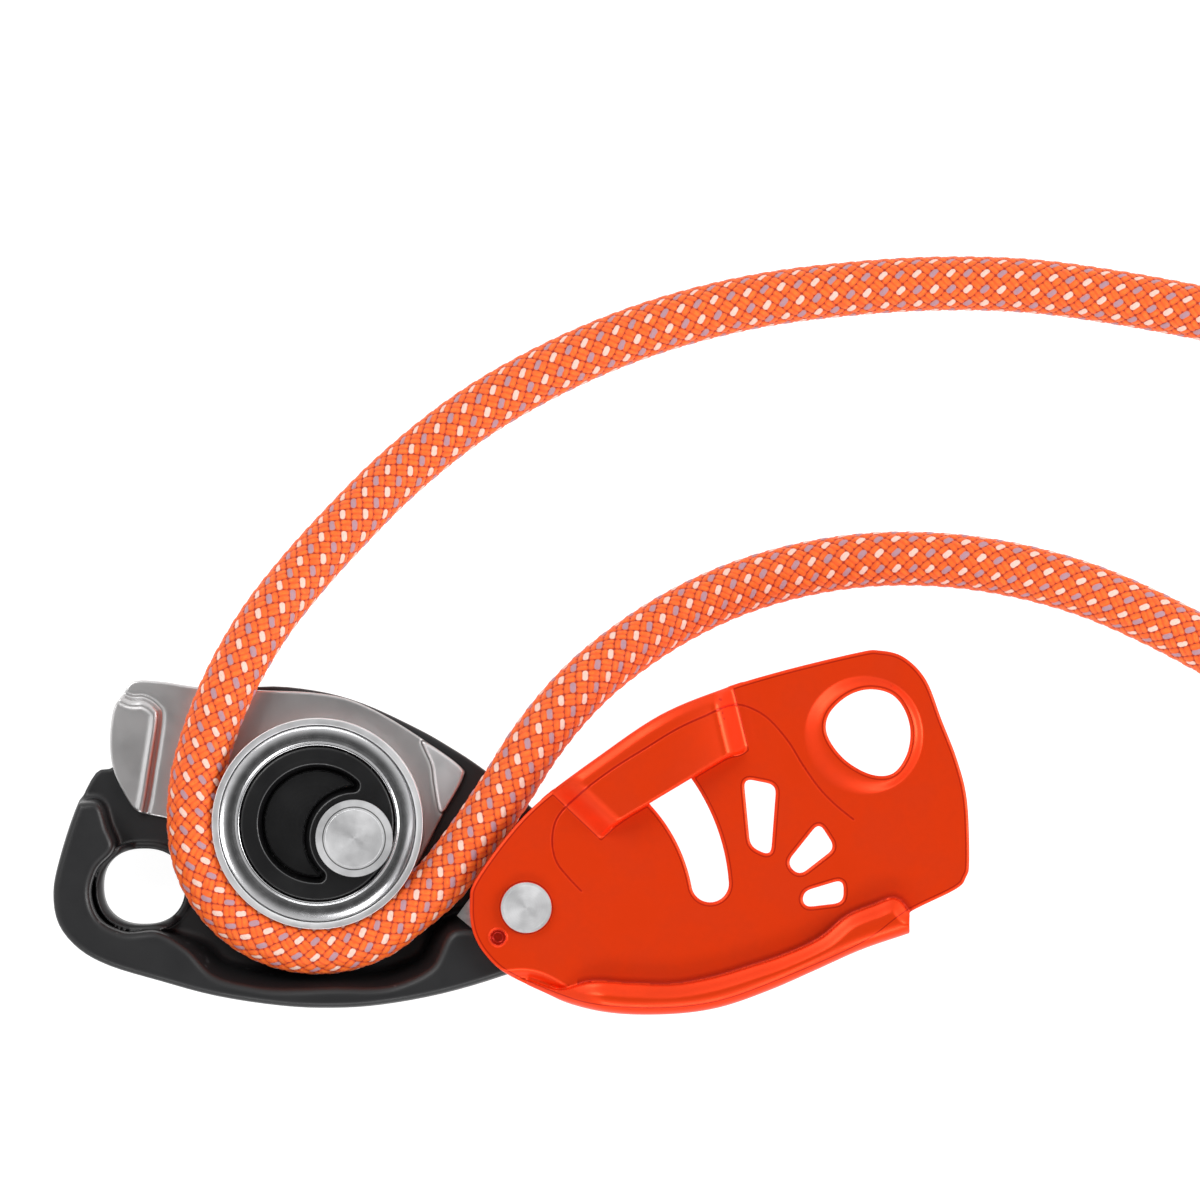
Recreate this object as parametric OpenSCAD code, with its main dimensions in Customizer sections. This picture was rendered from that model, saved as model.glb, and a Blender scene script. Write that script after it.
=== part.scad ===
// Cam-and-wheel rope descender, lying on its back with the side plate swung open.
// Millimetres. The origin is the axis of the attachment eye at the back face of the fixed plate.
// +X runs from the eye towards the pivot, +Z points away from the surface it lies on.

/* [Fixed plate] */
// Thickness of the fixed plate's floor
plate_t = 4.5; // [4:0.1:5]
// Radius of the attachment eye
eye_r = 7.3; // [6.5:0.1:7.5]
// Height of the wall round the rope channel, above the plate's back face
rim_top = 15; // [12:0.5:15.5]
// Thickness of the stainless wear plate
wear_t = 1; // [0.6:0.1:1]

/* [Rope] */
// Diameter of the rope
rope_d = 10.2; // [9:0.1:10.4]
// Height of the rope's centre inside the device
rope_z = 10.8; // [10.7:0.05:10.9]
// Radius of the rope's centre line round the wheel
rope_wrap_r = 22.9; // [22.8:0.1:23.2]

/* [Cam and wheel] */
// Outer radius of the grooved wheel
wheel_r = 19.5; // [19:0.1:19.5]
// Radius at the root of the rope groove
groove_r = 17.3; // [17:0.1:17.3]
// Radius of the black eccentric hub's flange
hub_flange_r = 14.1; // [13.8:0.1:14.1]
// Radius of the axle's mushroom head
axle_head_r = 7.1; // [6:0.1:7.2]
// Radius of the axle's neck, which the side plate's slot slides over
axle_neck_r = 3.1; // [2.8:0.05:3.1]
// Radius of the axle in its bush
axle_r = 3.5; // [3.2:0.1:3.5]

/* [Side plate] */
// Thickness of the aluminium side plate
side_t = 2.5; // [2:0.1:2.5]
// Height of the side plate's underside
side_z = 16.2; // [16.2:0.1:16.3]
// Thickness of the raised bridge and of the rolled lip
bridge_t = 2.2; // [1.8:0.1:2.2]
// Half width of the arc slot
slot_half = 3.45; // [3.45:0.05:3.6]

/* [Handle] */
// Length of the lever from its pin to the tip
lever_len = 36; // [30:1:38]
// Width of the grip
grip_w = 13; // [11:0.5:13]

/* [Hidden] */
$fn = 64;
RUN = 0.05;                       // radial clearance of a running fit
GAP = 0.3;                        // clearance between pieces that move past each other
SEAM = 0.01;                      // bite of a union between touching solids

// Plan positions
wheel_xy = [32.3, 11.8];
axle_xy = [39.2, 9.2];
pivot_xy = [70.9, -3.6];
lever_angle = -18;
lever_arm = 19;                   // from the axle to the lever's pin
lever_xy = axle_xy + lever_arm * [cos(lever_angle), sin(lever_angle)];
rivet_xy = [[13, 22], [22, 18], [42, 26]];
dowel_xy = [72.5, 5];
stop_arm = 8.5;                   // from the axle to the pin that stops the cam
stop_angle = 130;
stop_xy = axle_xy + stop_arm * [cos(stop_angle), sin(stop_angle)];

// Radii inside the wheel
core_r = 12.2;
race_in_r = 12.9;
race_out_r = 14.4;
race_back_r = 15.2;
bush_r = 5.2;
pivot_r = 3;
pivot_bush_r = 4.2;
rivet_r = 1.5;
stop_r = 1.2;

// Heights
wear_top = plate_t + wear_t;
wheel_half = 4.9;
wheel_low = rope_z - wheel_half;
wheel_high = rope_z + wheel_half;
hub_low = wear_top + GAP;
hub_high = 15.5;
flange_low = 13.2;
race_low = 7.6;
race_high = 13;
side_top = side_z + side_t;
head_low = side_top + GAP;
head_high = head_low + 2.4;
bridge_low = head_high + 0.4;
bridge_high = bridge_low + bridge_t;
lip_high = 23.2;
back_z = -10;                     // the surface that the device lies on
hub_back = -8.5;
hub_front = -3.8;
ear_top = -6.2;
lever_low = -6;

// Outlines: each point is on the edge, and smooth() rounds the stretches between them.
plate_edge = [
    [-5.5, 22.3], [-9, 21], [-12.5, 14], [-15.4, 5], [-16.5, -1], [-15.5, -6.8], [-11.7, -11.4],
    [-6, -14.5], [3, -17.2], [13.5, -20], [25.5, -21.8], [35, -22.2], [44, -21.6], [55, -19.6],
    [66, -16.4], [74, -13], [79.5, -6], [80, 2], [77, 9], [72.5, 14], [63, 21.6], [56.5, 25.9],
    [50.3, 29.4], [40.5, 33.9], [31.5, 36.3], [21, 37], [8, 34.5], [0, 28.5]
];
// Everything inside the rim: its first points run along the rim's inner edge.
channel_edge = [
    [-20, 15.6], [-11.5, 15.6], [-8.7, 15.7], [-6.6, 11], [-5.4, 7.6], [-8.7, 3.3], [-9.8, -0.9],
    [-8, -6], [-3.7, -8.3], [3, -8.3], [8, -11.3], [12.8, -16.2], [20.2, -18.4], [35, -18.7],
    [47.2, -18], [53.3, -15], [58, -8], [61.2, -8], [67.5, -12.2], [72.5, -12.2], [78, -9],
    [100, -9], [100, 60], [-20, 60]
];
wear_edge = [
    [-4, 35.5], [-2, 38], [3, 38], [10, 37], [21, 36.4], [30.5, 36], [37.5, 34.8], [44, 32],
    [51.5, 27.4], [58.6, 22.3], [59.1, 20], [55.5, 13.5], [50, 3], [44, -3], [34, -5.5],
    [24, -3.5], [14, 4], [8, 10.5], [4.5, 12.5], [0.5, 13.4], [-2, 14.6], [-4.6, 19], [-6, 23],
    [-6.3, 28], [-5.6, 33]
];
wear_step_edge = [
    [-3.8, 35.2], [0, 34.6], [2.6, 33.2], [3, 31], [1, 14], [-2, 15], [-4.3, 19.2], [-5.7, 23],
    [-6, 28], [-5.3, 33]
];
anvil_edge = [
    [58.1, -5.2], [69.7, 10.5], [71.2, 11.5], [73.5, 11], [77, 7], [78.5, 0], [77, -8],
    [72.5, -12], [67.5, -12], [61.2, -7.8]
];
side_edge = [
    [60.5, -2.5], [61.5, 1.5], [68, 10.5], [74.5, 17], [84.5, 24.5], [95.5, 31.9], [106.5, 36.5],
    [118, 40], [132, 43.4], [136, 43.8], [140.5, 42.6], [144.6, 38.4], [147.5, 31], [150.4, 23.5],
    [152.2, 16], [152.6, 5], [152, 2], [150, -0.3], [141, -4.8], [132.5, -10.8], [116, -18],
    [105.5, -21.5], [95, -22.6], [84, -22], [77, -20.2], [68, -16.3], [63.5, -12.5], [61, -8]
];
side_hole_edge = [
    [134, 36.6], [130, 35.3], [126.7, 32], [126.4, 28.2], [129.5, 23.8], [134.3, 21], [138.4, 21.1],
    [141, 24.5], [141.7, 29], [140.5, 33.1], [138, 35.8]
];
windows = [
    [[111, 20.2], [117, 19], [116, 5.9], [112.2, 7.6]],
    [[124.9, 12.1], [127.9, 7.4], [121.2, 2.2], [118.9, 4.6]],
    [[129.4, 1.6], [129.4, -2.7], [122, -3.6], [121.8, -0.7]]
];
bridge_foot_left = [[77.1, 16.1], [84.5, 9.1]];
bridge_crest_left = [[80.5, 20.3], [88.6, 12.6]];
bridge_crest_right = [[102.5, 34.4], [105.3, 23.7]];
bridge_foot_right = [[109, 36.8], [111.9, 25]];
bridge_outer = [[84.5, 24], [95.5, 31.5]];
// The sheet under the bridge is formed up into it, so the plate is open there.
bridge_gap = [
    bridge_foot_left[1], bridge_foot_right[1], bridge_foot_right[0] + [2, 4], [84, 34],
    bridge_foot_left[0] + [-3, 4]
];
lip_outer = [
    [141.5, -8.3], [132.5, -11.4], [124, -15.2], [116, -18.7], [105.5, -22.2], [95, -23.3],
    [84, -22.6], [77, -20.7], [71, -17.9]
];
lip_free_edge = [
    [77.1, -18.8], [82.5, -17.4], [90, -17.7], [98.4, -17.8], [105.5, -16.5], [112.5, -14.4],
    [118, -12.6], [125.6, -9], [130.2, -5.2], [135, -3.2], [139, -2], [141.5, -4.6]
];

// Seat of the front shield in the rim, as radius and height from the rope's centre
shield_step = [[16.6, 3.4], [18.1, 4.1]];

// The rope's route: round the wheel by a formula, then along these points.
rope_sides = 10;
wrap_from = 180;
wrap_to = 314;
wrap_steps = 10;
wrap = [for (k = [0 : wrap_steps])
    let (a = wrap_from + (wrap_to - wrap_from) * k / wrap_steps)
    [wheel_xy[0] + rope_wrap_r * cos(a), wheel_xy[1] + rope_wrap_r * sin(a), rope_z]];
rope_seam = [55.1, 1.3, rope_z];
climber_route = [
    [9.8, 19, 10.8], [11.8, 27, 10.8], [16.2, 38, 10.65], [22.5, 49, 8.2], [29, 57.5, 4.2],
    [37, 66.5, -0.3], [47.5, 77, -3.9], [61.5, 88, -4.9], [75.5, 96, -4.9], [93.5, 103.5, -4.9],
    [112.5, 108.5, -4.9], [131, 111, -4.9], [148, 112, -4.9], [165, 111.5, -4.9],
    [180, 109.5, -4.9], [195, 106.8, -4.9], [206, 104.5, -4.9]
];
brake_route = [
    [59, 6.2, 10.8], [66.3, 16.8, 10.8], [72.8, 27, 10], [77.5, 33, 8.3], [83, 38.7, 5.7],
    [90, 44.3, 2.2], [98, 49.5, -1.2], [109, 54.8, -4], [121.5, 58.6, -4.9], [135, 60.6, -4.9],
    [149, 60.5, -4.9], [162, 58.6, -4.9], [175, 55, -4.9], [188, 49.4, -4.9], [199, 43.6, -4.9],
    [206, 39.8, -4.9]
];

// Both strands end square to one line at the seam, a hair apart.
seam_run = brake_route[0] - wrap[wrap_steps];
seam_way = seam_run / norm(seam_run);
climber_end = [rope_seam - seam_way, rope_seam - RUN * seam_way];
brake_end = [rope_seam + RUN * seam_way, rope_seam + seam_way];

// ---- Curves ----

function spline_point(p, i, t) =
    let (
        n = len(p),
        a = p[(i + n - 1) % n],
        b = p[i],
        c = p[(i + 1) % n],
        d = p[(i + 2) % n]
    )
    0.5 * (2 * b + (c - a) * t + (2 * a - 5 * b + 4 * c - d) * t * t
           + (3 * b - a - 3 * c + d) * t * t * t);

// A closed curve through every point of p
function smooth(p, steps = 4) =
    [for (i = [0 : len(p) - 1], k = [0 : steps - 1]) spline_point(p, i, k / steps)];

// An open curve through every point of p
function smooth_open(p, steps = 4) =
    let (padded = concat([2 * p[0] - p[1]], p, [2 * p[len(p) - 1] - p[len(p) - 2]]))
    concat(
        [for (i = [1 : len(padded) - 3], k = [0 : steps - 1]) spline_point(padded, i, k / steps)],
        [p[len(p) - 1]]
    );

// A polygon whose corners are cut back by c and rounded
function rounded(p, c, steps = 4) =
    [for (i = [0 : len(p) - 1])
        let (
            v = p[i],
            before = p[(i + len(p) - 1) % len(p)] - v,
            after = p[(i + 1) % len(p)] - v,
            s = v + c * before / norm(before),
            e = v + c * after / norm(after)
        )
        for (k = [0 : steps]) let (t = k / steps)
            (1 - t) * (1 - t) * s + 2 * t * (1 - t) * v + t * t * e];

function arc(centre, r, from, to, steps) =
    [for (k = [0 : steps]) let (a = from + (to - from) * k / steps)
        centre + r * [cos(a), sin(a)]];

// Points moved sideways by d, to the left of the way they run
function shifted(p, d) =
    [for (i = [0 : len(p) - 1])
        let (
            run = p[min(i + 1, len(p) - 1)] - p[max(i - 1, 0)],
            u = run / norm(run)
        )
        p[i] + d * [-u[1], u[0]]];

function reversed(p) = [for (i = [len(p) - 1 : -1 : 0]) p[i]];

// ---- Shared shapes ----

module slab(points, low, high) {
    translate([0, 0, low]) linear_extrude(high - low) polygon(points);
}

module disc(xy, r, low, high) {
    translate([xy[0], xy[1], low]) cylinder(r = r, h = high - low);
}

module ring(xy, inner, outer, low, high) {
    difference() {
        disc(xy, outer, low, high);
        disc(xy, inner, low - 1, high + 1);
    }
}

// A band whose outer edge runs from angle `from` to `to` about centre
module arc_band(centre, inner, outer, from, to, low, high) {
    steps = 16;
    slab(concat(arc(centre, inner, from, to, steps), arc(centre, outer, to, from, steps)), low, high);
}

// A tube along a path of points, closed at both ends
module tube(path, r, sides) {
    count = len(path);
    rings = [for (i = [0 : count - 1])
        let (
            run = path[min(i + 1, count - 1)] - path[max(i - 1, 0)],
            u = run / norm(run),
            flat = cross(u, [0, 0, 1]),
            side = flat / norm(flat),
            up = cross(side, u)
        )
        for (k = [0 : sides - 1]) let (a = 360 * (k + 0.5) / sides)
            path[i] + r * (cos(a) * side + sin(a) * up)];
    walls = [for (i = [0 : count - 2], k = [0 : sides - 1])
        let (m = (k + 1) % sides)
        [i * sides + k, i * sides + m, (i + 1) * sides + m, (i + 1) * sides + k]];
    first = [for (k = [sides - 1 : -1 : 0]) k];
    last = [for (k = [0 : sides - 1]) (count - 1) * sides + k];
    polyhedron(points = rings, faces = concat([first], walls, [last]), convexity = 6);
}

// A round-wire coil that climbs from `low` to `high` about xy
module coil(xy, r, wire_r, low, high, turns) {
    per_turn = 18;
    count = round(turns * per_turn);
    path = [for (i = [0 : count])
        let (a = 360 * turns * i / count)
        [xy[0] + r * cos(a), xy[1] + r * sin(a), low + (high - low) * i / count]];
    tube(path, wire_r, 6);
}

// ---- Fixed plate and what is fastened to it ----

module fixed_plate() {
    color("#2b2b2e") difference() {
        union() {
            slab(smooth(plate_edge), 0, plate_t);
            difference() {
                slab(smooth(plate_edge), plate_t - SEAM, rim_top);
                slab(channel_edge, plate_t - 1, rim_top + 1);
            }
            disc(axle_xy, 8.2, -2.2, SEAM);
        }
        disc([0, 0], eye_r, -1, rim_top + 1);
        disc(axle_xy, bush_r, -3, plate_t + 1);
        disc(pivot_xy, pivot_r, -1, plate_t + 1);
        disc(dowel_xy, rivet_r, 1, plate_t + 1);
        disc(stop_xy, stop_r, 1, plate_t + 1);
        for (xy = rivet_xy) disc(xy, rivet_r, -1, plate_t + 1);
    }
}

module wear_plate() {
    color("#9b9494") difference() {
        union() {
            slab(smooth(wear_edge), plate_t, wear_top);
            slab(smooth(wear_step_edge), wear_top - SEAM, wear_top + 1);
        }
        disc(axle_xy, 5.6, plate_t - 1, wear_top + 1);
        disc(stop_xy, stop_r, plate_t - 1, wear_top + 1);
        for (xy = rivet_xy) disc(xy, rivet_r, plate_t - 1, wear_top + 1);
    }
}

// Flush in front, with a formed head behind
module wear_plate_rivets() {
    color("#b8b8b8") for (xy = rivet_xy) {
        disc(xy, rivet_r, -SEAM, wear_top);
        disc(xy, 2.2, -0.8, 0);
    }
}

module anvil() {
    color("#b9bab9") difference() {
        slab(anvil_edge, plate_t, side_z - 0.6);
        disc(pivot_xy, pivot_r, 0, side_z + 1);
        disc(dowel_xy, rivet_r, 0, 12);
    }
}

module anvil_dowel() {
    color("#c8c8c8") disc(dowel_xy, rivet_r, 1, 12);
}

module pivot_pin() {
    color("#c9cbcc") {
        disc(pivot_xy, pivot_r, -SEAM, side_top + 0.2);
        disc(pivot_xy, 4.65, side_top + 0.15, side_top + 1.35);
        disc(pivot_xy, 4.5, -1.5, 0);
    }
}

module pivot_friction_washer() {
    color("#c2a25a") ring(pivot_xy, pivot_r, 6, side_z - 0.55, side_z - 0.05);
}

module cam_bush() {
    color("#b08a4e") difference() {
        union() {
            disc(axle_xy, bush_r, -2.2 - SEAM, plate_t);
            disc(axle_xy, 7, -3, -2.2);
        }
        disc(axle_xy, axle_r + RUN, -4, plate_t + 1);
    }
}

module cam_thrust_washer() {
    color("#e6e2d4") ring(axle_xy, axle_r + GAP, 6.9, wear_top, wear_top + 0.2);
}

module cam_stop_pin() {
    color("#c8c8c8") disc(stop_xy, stop_r, 1, 7.3);
}

module cam_spring() {
    color("#8d8f92") coil(axle_xy, 9.6, 0.6, -3, -0.7, 1.75);
}

// ---- Side plate ----

// Arc slot about the pivot, a little wider at its mouth
module slot_cut() {
    reach = norm(axle_xy - pivot_xy);
    first = 7.4;
    last = 70;
    flare = 1;
    steps = 24;
    edge = [for (side = [-1, 1]) [for (k = [0 : steps])
        let (
            t = k / steps,
            a = first + (last - first) * t,
            r = reach + side * (slot_half + flare * min(1, 2 * t))
        )
        pivot_xy + r * [cos(a), sin(a)]]];
    slab(concat(edge[0], reversed(edge[1])), side_z - 1, side_top + 1);
    disc(pivot_xy + reach * [cos(first), sin(first)], slot_half, side_z - 1, side_top + 1);
}

module bridge() {
    slab(concat([bridge_crest_left[0], bridge_crest_left[1], bridge_crest_right[1],
                 bridge_crest_right[0]], reversed(bridge_outer)), bridge_low, bridge_high);
    bridge_leg(bridge_foot_left, bridge_crest_left);
    bridge_leg(bridge_foot_right, bridge_crest_right);
}

// A sloping leg from the plate up to the bridge's crest
module bridge_leg(foot, crest) {
    away = (foot[0] - crest[0]) / norm(foot[0] - crest[0]);
    hull() {
        slab([crest[0], crest[1], crest[1] - away, crest[0] - away], bridge_low, bridge_high);
        slab([foot[0], foot[1], foot[1] + away, foot[0] + away], side_z, side_top);
    }
}

module lip() {
    outer = smooth_open(lip_outer);
    slab(concat(outer, reversed(shifted(outer, -2.4))), side_z, lip_high);
    slab(concat(outer, smooth_open(lip_free_edge)), lip_high - bridge_t, lip_high);
}

module side_plate() {
    color("#e03a14") difference() {
        union() {
            difference() {
                slab(smooth(side_edge), side_z, side_top);
                slab(bridge_gap, side_z - 1, side_top + 1);
                slot_cut();
            }
            bridge();
            lip();
        }
        slab(smooth(side_hole_edge), side_z - 1, side_top + 1);
        for (w = windows) slab(rounded(w, 1), side_z - 1, side_top + 1);
        disc(pivot_xy, pivot_bush_r, side_z - 1, side_top + 1);
    }
}

module side_plate_bush() {
    color("#b08a4e") ring(pivot_xy, pivot_r + RUN, pivot_bush_r, side_z, side_top);
}

// ---- Cam ----

// The crescent pocket runs round the hub and stops short of the boss under the axle's head
module cam_hub() {
    pocket_floor = 8.8;
    pocket_edge = concat(arc(wheel_xy, 10.4, 50, 270, 22), arc(axle_xy, 8.3, 225, 88, 14));
    color("#1d1d20") difference() {
        union() {
            disc(wheel_xy, core_r, hub_low, hub_high - SEAM);
            disc(wheel_xy, hub_flange_r, flange_low, hub_high);
        }
        slab(pocket_edge, pocket_floor, hub_high + 1);
        disc(axle_xy, axle_r, hub_low - 1, hub_high + 1);
        arc_band(axle_xy, stop_arm - 1.6, stop_arm + 1.6, stop_angle - 14, stop_angle + 69,
                 hub_low - 1, 7.6);
    }
}

module cam_axle() {
    color("#c3c5c6") difference() {
        union() {
            disc(axle_xy, axle_head_r, head_low, head_high);
            disc(axle_xy, axle_neck_r, hub_high - SEAM, head_low + SEAM);
            disc(axle_xy, axle_r, hub_front, hub_high);
            disc(axle_xy, 3, -9.7, hub_front + SEAM);
        }
        ring(axle_xy, 2.4, 4, -9.2, hub_back);
        translate([axle_xy[0] + 2.3, axle_xy[1] - 5, -11]) cube([5, 10, 11 + hub_front]);
    }
}

module bearing_inner_race() {
    color("#b4b6b8") ring(wheel_xy, core_r, race_in_r, race_low, race_high);
}

// ---- Wheel ----

module bearing_balls() {
    count = 24;
    ball_r = (race_out_r - race_in_r) / 2 - RUN;
    pitch_r = (race_out_r + race_in_r) / 2;
    color("#d6d8da") for (k = [0 : count - 1])
        translate([wheel_xy[0], wheel_xy[1], rope_z - 0.5])
            rotate([0, 0, 360 * k / count]) translate([pitch_r, 0, 0]) sphere(r = ball_r);
}

module bearing_outer_race() {
    color("#b4b6b8") ring(wheel_xy, race_out_r, race_back_r, race_low, race_high);
}

// Profiles are drawn as radius and height from the rope's centre
module wheel_rim() {
    lip_half = 4.2;
    root_half = 2.6;
    seat_low = race_low - rope_z;
    seat_high = race_high - rope_z;
    color("#b1b3b4") translate([wheel_xy[0], wheel_xy[1], rope_z]) rotate_extrude(convexity = 6)
        polygon([
            [race_back_r, seat_low], [race_back_r, seat_high], [16.6, seat_high], shield_step[0],
            shield_step[1], [18.1, wheel_half], [wheel_r - 0.3, wheel_half],
            [wheel_r, wheel_half - 0.3], [wheel_r, lip_half], [groove_r, root_half],
            [groove_r, -root_half], [wheel_r, -lip_half], [wheel_r, 0.3 - wheel_half],
            [wheel_r - 0.3, -wheel_half], [16.6, -wheel_half], [16.6, seat_low]
        ]);
}

module wheel_front_shield() {
    low = race_high - rope_z;
    color("#a5a7a8") translate([wheel_xy[0], wheel_xy[1], rope_z]) rotate_extrude(convexity = 6)
        polygon([
            [race_out_r, low], [16.6, low], shield_step[0], shield_step[1], [18.1, wheel_half],
            [17.5, wheel_half], [17.1, 4.4], [16.6, 3.9], [16, 3.4], [15.5, 3.6],
            [15.1, 4.4], [14.8, 4.5], [race_out_r, 4.4]
        ]);
}

module wheel_rear_shield() {
    color("#8f9192") ring(wheel_xy, race_out_r, 16.6, wheel_low, race_low);
}

// ---- Handle ----

module handle_hub() {
    ear = 5;
    ear_edge = concat(arc(lever_xy, ear, lever_angle - 90, lever_angle + 90, 18),
                      [axle_xy + across(ear), axle_xy - across(ear)]);
    color("#8b8d8f") difference() {
        union() {
            disc(axle_xy, 12.5, hub_back, hub_front);
            ring(axle_xy, 11.4, 12.5, hub_front - SEAM, -0.5);
            slab(ear_edge, hub_back, ear_top);
        }
        difference() {
            disc(axle_xy, 3, hub_back - 1, 1);
            translate([axle_xy[0] + 2.3, axle_xy[1] - 5, hub_back - 2])
                cube([5, 10, 2 + hub_front - hub_back]);
        }
        disc(axle_xy, axle_r + GAP, hub_front, 1);
        disc(lever_xy, 2, hub_back - 1, ear_top + 1);
        disc(lever_xy, 4.3, -8, ear_top + 1);
    }
}

function across(d) = d * [-sin(lever_angle), cos(lever_angle)];

module hub_retaining_ring() {
    color("#77797b") ring(axle_xy, 2.4, 4.6, -9.2, hub_back);
}

module hub_cap() {
    color("#202124") difference() {
        disc(axle_xy, 9, back_z, hub_back);
        disc(axle_xy, 5, -9.75, hub_back + 1);
    }
}

module handle_pin() {
    color("#c3c5c6") {
        disc(lever_xy, 2, -9, -3.6);
        disc(lever_xy, 3.2, -9.3, hub_back);
        disc(lever_xy, 3.2, -3.75, -3.3);
    }
}

module handle_spring() {
    color("#8d8f92") coil(lever_xy, 3.3, 0.3, -7.65, -6.6, 1.4);
}

// Shapes of the lever are drawn along +X from its pin and turned into place
module along_lever() {
    translate([lever_xy[0], lever_xy[1], 0]) rotate([0, 0, lever_angle]) children();
}

module handle_lever() {
    eye_edge = arc([0, 0], 5, 44, 316, 24);
    color("#a9abad") difference() {
        along_lever() slab(concat(eye_edge, [[26, -3.5], [26, 3.5]]), lever_low, hub_front);
        disc(lever_xy, 2 + RUN, lever_low - 1, hub_front + 1);
        along_lever() translate([21, 0, lever_low - 1]) cylinder(r = 1.5, h = 4);
    }
}

module handle_grip() {
    half = grip_w / 2;
    edge = [
        [7.5, -4], [14, -half + 1], [22, -half], [lever_len - 5, -half], [lever_len - 0.5, -3.5],
        [lever_len, 0], [lever_len - 0.5, 3.5], [lever_len - 5, half], [22, half],
        [14, half - 1], [7.5, 4]
    ];
    color("#232427") along_lever() difference() {
        slab(rounded(edge, 1), back_z, -3.2);
        slab([[0, -3.5], [26, -3.5], [26, 3.5], [0, 3.5]], lever_low, hub_front);
        translate([21, 0, back_z - 1]) cylinder(r = 1.5, h = 9);
    }
}

module grip_rivet() {
    color("#b8b8b8") along_lever() translate([21, 0, back_z + 0.4])
        cylinder(r = 1.5, h = -3.2 - back_z - 0.8);
}

// ---- Rope ----

module rope_climber_strand() {
    color("#ff6a1a") tube(concat(reversed(climber_route), wrap, climber_end), rope_d / 2, rope_sides);
}

module rope_brake_strand() {
    color("#ff6a1a") tube(concat(brake_end, brake_route), rope_d / 2, rope_sides);
}

fixed_plate();
wear_plate();
wear_plate_rivets();
anvil();
anvil_dowel();
pivot_pin();
pivot_friction_washer();
cam_bush();
cam_thrust_washer();
cam_stop_pin();
cam_spring();
side_plate();
side_plate_bush();
cam_hub();
cam_axle();
bearing_inner_race();
bearing_balls();
bearing_outer_race();
wheel_rim();
wheel_front_shield();
wheel_rear_shield();
handle_hub();
hub_retaining_ring();
hub_cap();
handle_pin();
handle_spring();
handle_lever();
handle_grip();
grip_rivet();
rope_climber_strand();
rope_brake_strand();
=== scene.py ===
"""Looks of the rope descender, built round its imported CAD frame.

Lengths are millimetres in the CAD frame, as in the CAD source, and MM turns them into metres. The sections
on the camera and the stage are in metres.
"""

import math

import bpy
import numpy as np
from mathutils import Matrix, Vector


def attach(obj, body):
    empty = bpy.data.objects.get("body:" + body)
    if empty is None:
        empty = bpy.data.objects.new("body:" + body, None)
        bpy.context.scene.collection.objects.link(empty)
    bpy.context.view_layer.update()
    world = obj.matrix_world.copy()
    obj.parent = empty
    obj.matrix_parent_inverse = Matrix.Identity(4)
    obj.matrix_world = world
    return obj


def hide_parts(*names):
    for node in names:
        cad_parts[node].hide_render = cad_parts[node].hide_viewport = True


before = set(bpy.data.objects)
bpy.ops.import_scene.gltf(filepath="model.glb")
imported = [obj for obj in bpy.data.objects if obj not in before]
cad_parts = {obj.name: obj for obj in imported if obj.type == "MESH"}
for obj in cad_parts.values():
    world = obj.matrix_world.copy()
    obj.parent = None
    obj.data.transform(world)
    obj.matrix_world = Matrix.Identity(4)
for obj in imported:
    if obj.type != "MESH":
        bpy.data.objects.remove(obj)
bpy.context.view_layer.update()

MM = 0.001

# ---- Places shared with the CAD ----

WHEEL_XY = (32.3, 11.8)
AXLE_XY = (39.2, 9.2)
PIVOT_XY = (70.9, -3.6)
EYE_HALF = (7.55, 7.0)
EYE_MEAN = 7.2                           # about the eye's mean half width
EYE_RING = 1.35                          # width of the raised ring round the eye
EYE_RING_TOP = 9.5
PLATE_TOP = 4.5
RIM_TOP = 15.0
WEAR_TOP = 5.5
ROPE_Z = 10.8
ROPE_D = 10.2
SIDE_LOW = 16.2
SIDE_TOP = 18.7
LIP_TOP = 23.2
HEAD_TOP = 21.4
HUB_TOP = 15.5
HOLE_RING_XY = (133, 28.1)
HOLE_RING_RADIUS = 11.15
SLOT_FROM = 7.4                          # degrees about the pivot, where the slot ends round the axle's neck
SLOT_SWEEP = 62.6
SLOT_END_RADIUS = 3.45
BRIDGE_RISE = 5.45
STRAP_THICKNESS = 2.3
DIMPLE_XY = (65.7, -9.1)
DIMPLE_RADIUS = 1.5
RIVETS_XY = ((13, 22), (22, 18), (42, 26))
STOP_XY = (33.74, 15.71)
SMALL_HOLES = [(STOP_XY, 1.2), *((xy, 1.5) for xy in RIVETS_XY)]

PLATE_EDGE = [
    (-5.5, 22.3), (-9, 21), (-12.5, 14), (-15.4, 5), (-16.5, -1), (-15.5, -6.8), (-11.7, -11.4),
    (-6, -14.5), (3, -17.2), (13.5, -20), (25.5, -21.8), (35, -22.2), (44, -21.6), (55, -19.6),
    (66, -16.4), (74, -13), (79.5, -6), (80, 2), (77, 9), (72.5, 14), (63, 21.6), (56.5, 25.9),
    (50.3, 29.4), (40.5, 33.9), (31.5, 36.3), (21, 37), (8, 34.5), (0, 28.5),
]
CHANNEL_EDGE = [
    (-20, 15.6), (-11.5, 15.6), (-8.7, 15.7), (-6.6, 11), (-5.4, 7.6), (-8.7, 3.3), (-9.8, -0.9),
    (-8, -6), (-3.7, -8.3), (3, -8.3), (8, -11.3), (12.8, -16.2), (20.2, -18.4), (35, -18.7),
    (47.2, -18), (53.3, -15), (58, -8), (61.2, -8), (67.5, -12.2), (72.5, -12.2), (78, -9),
    (100, -9), (100, 60), (-20, 60),
]
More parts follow.
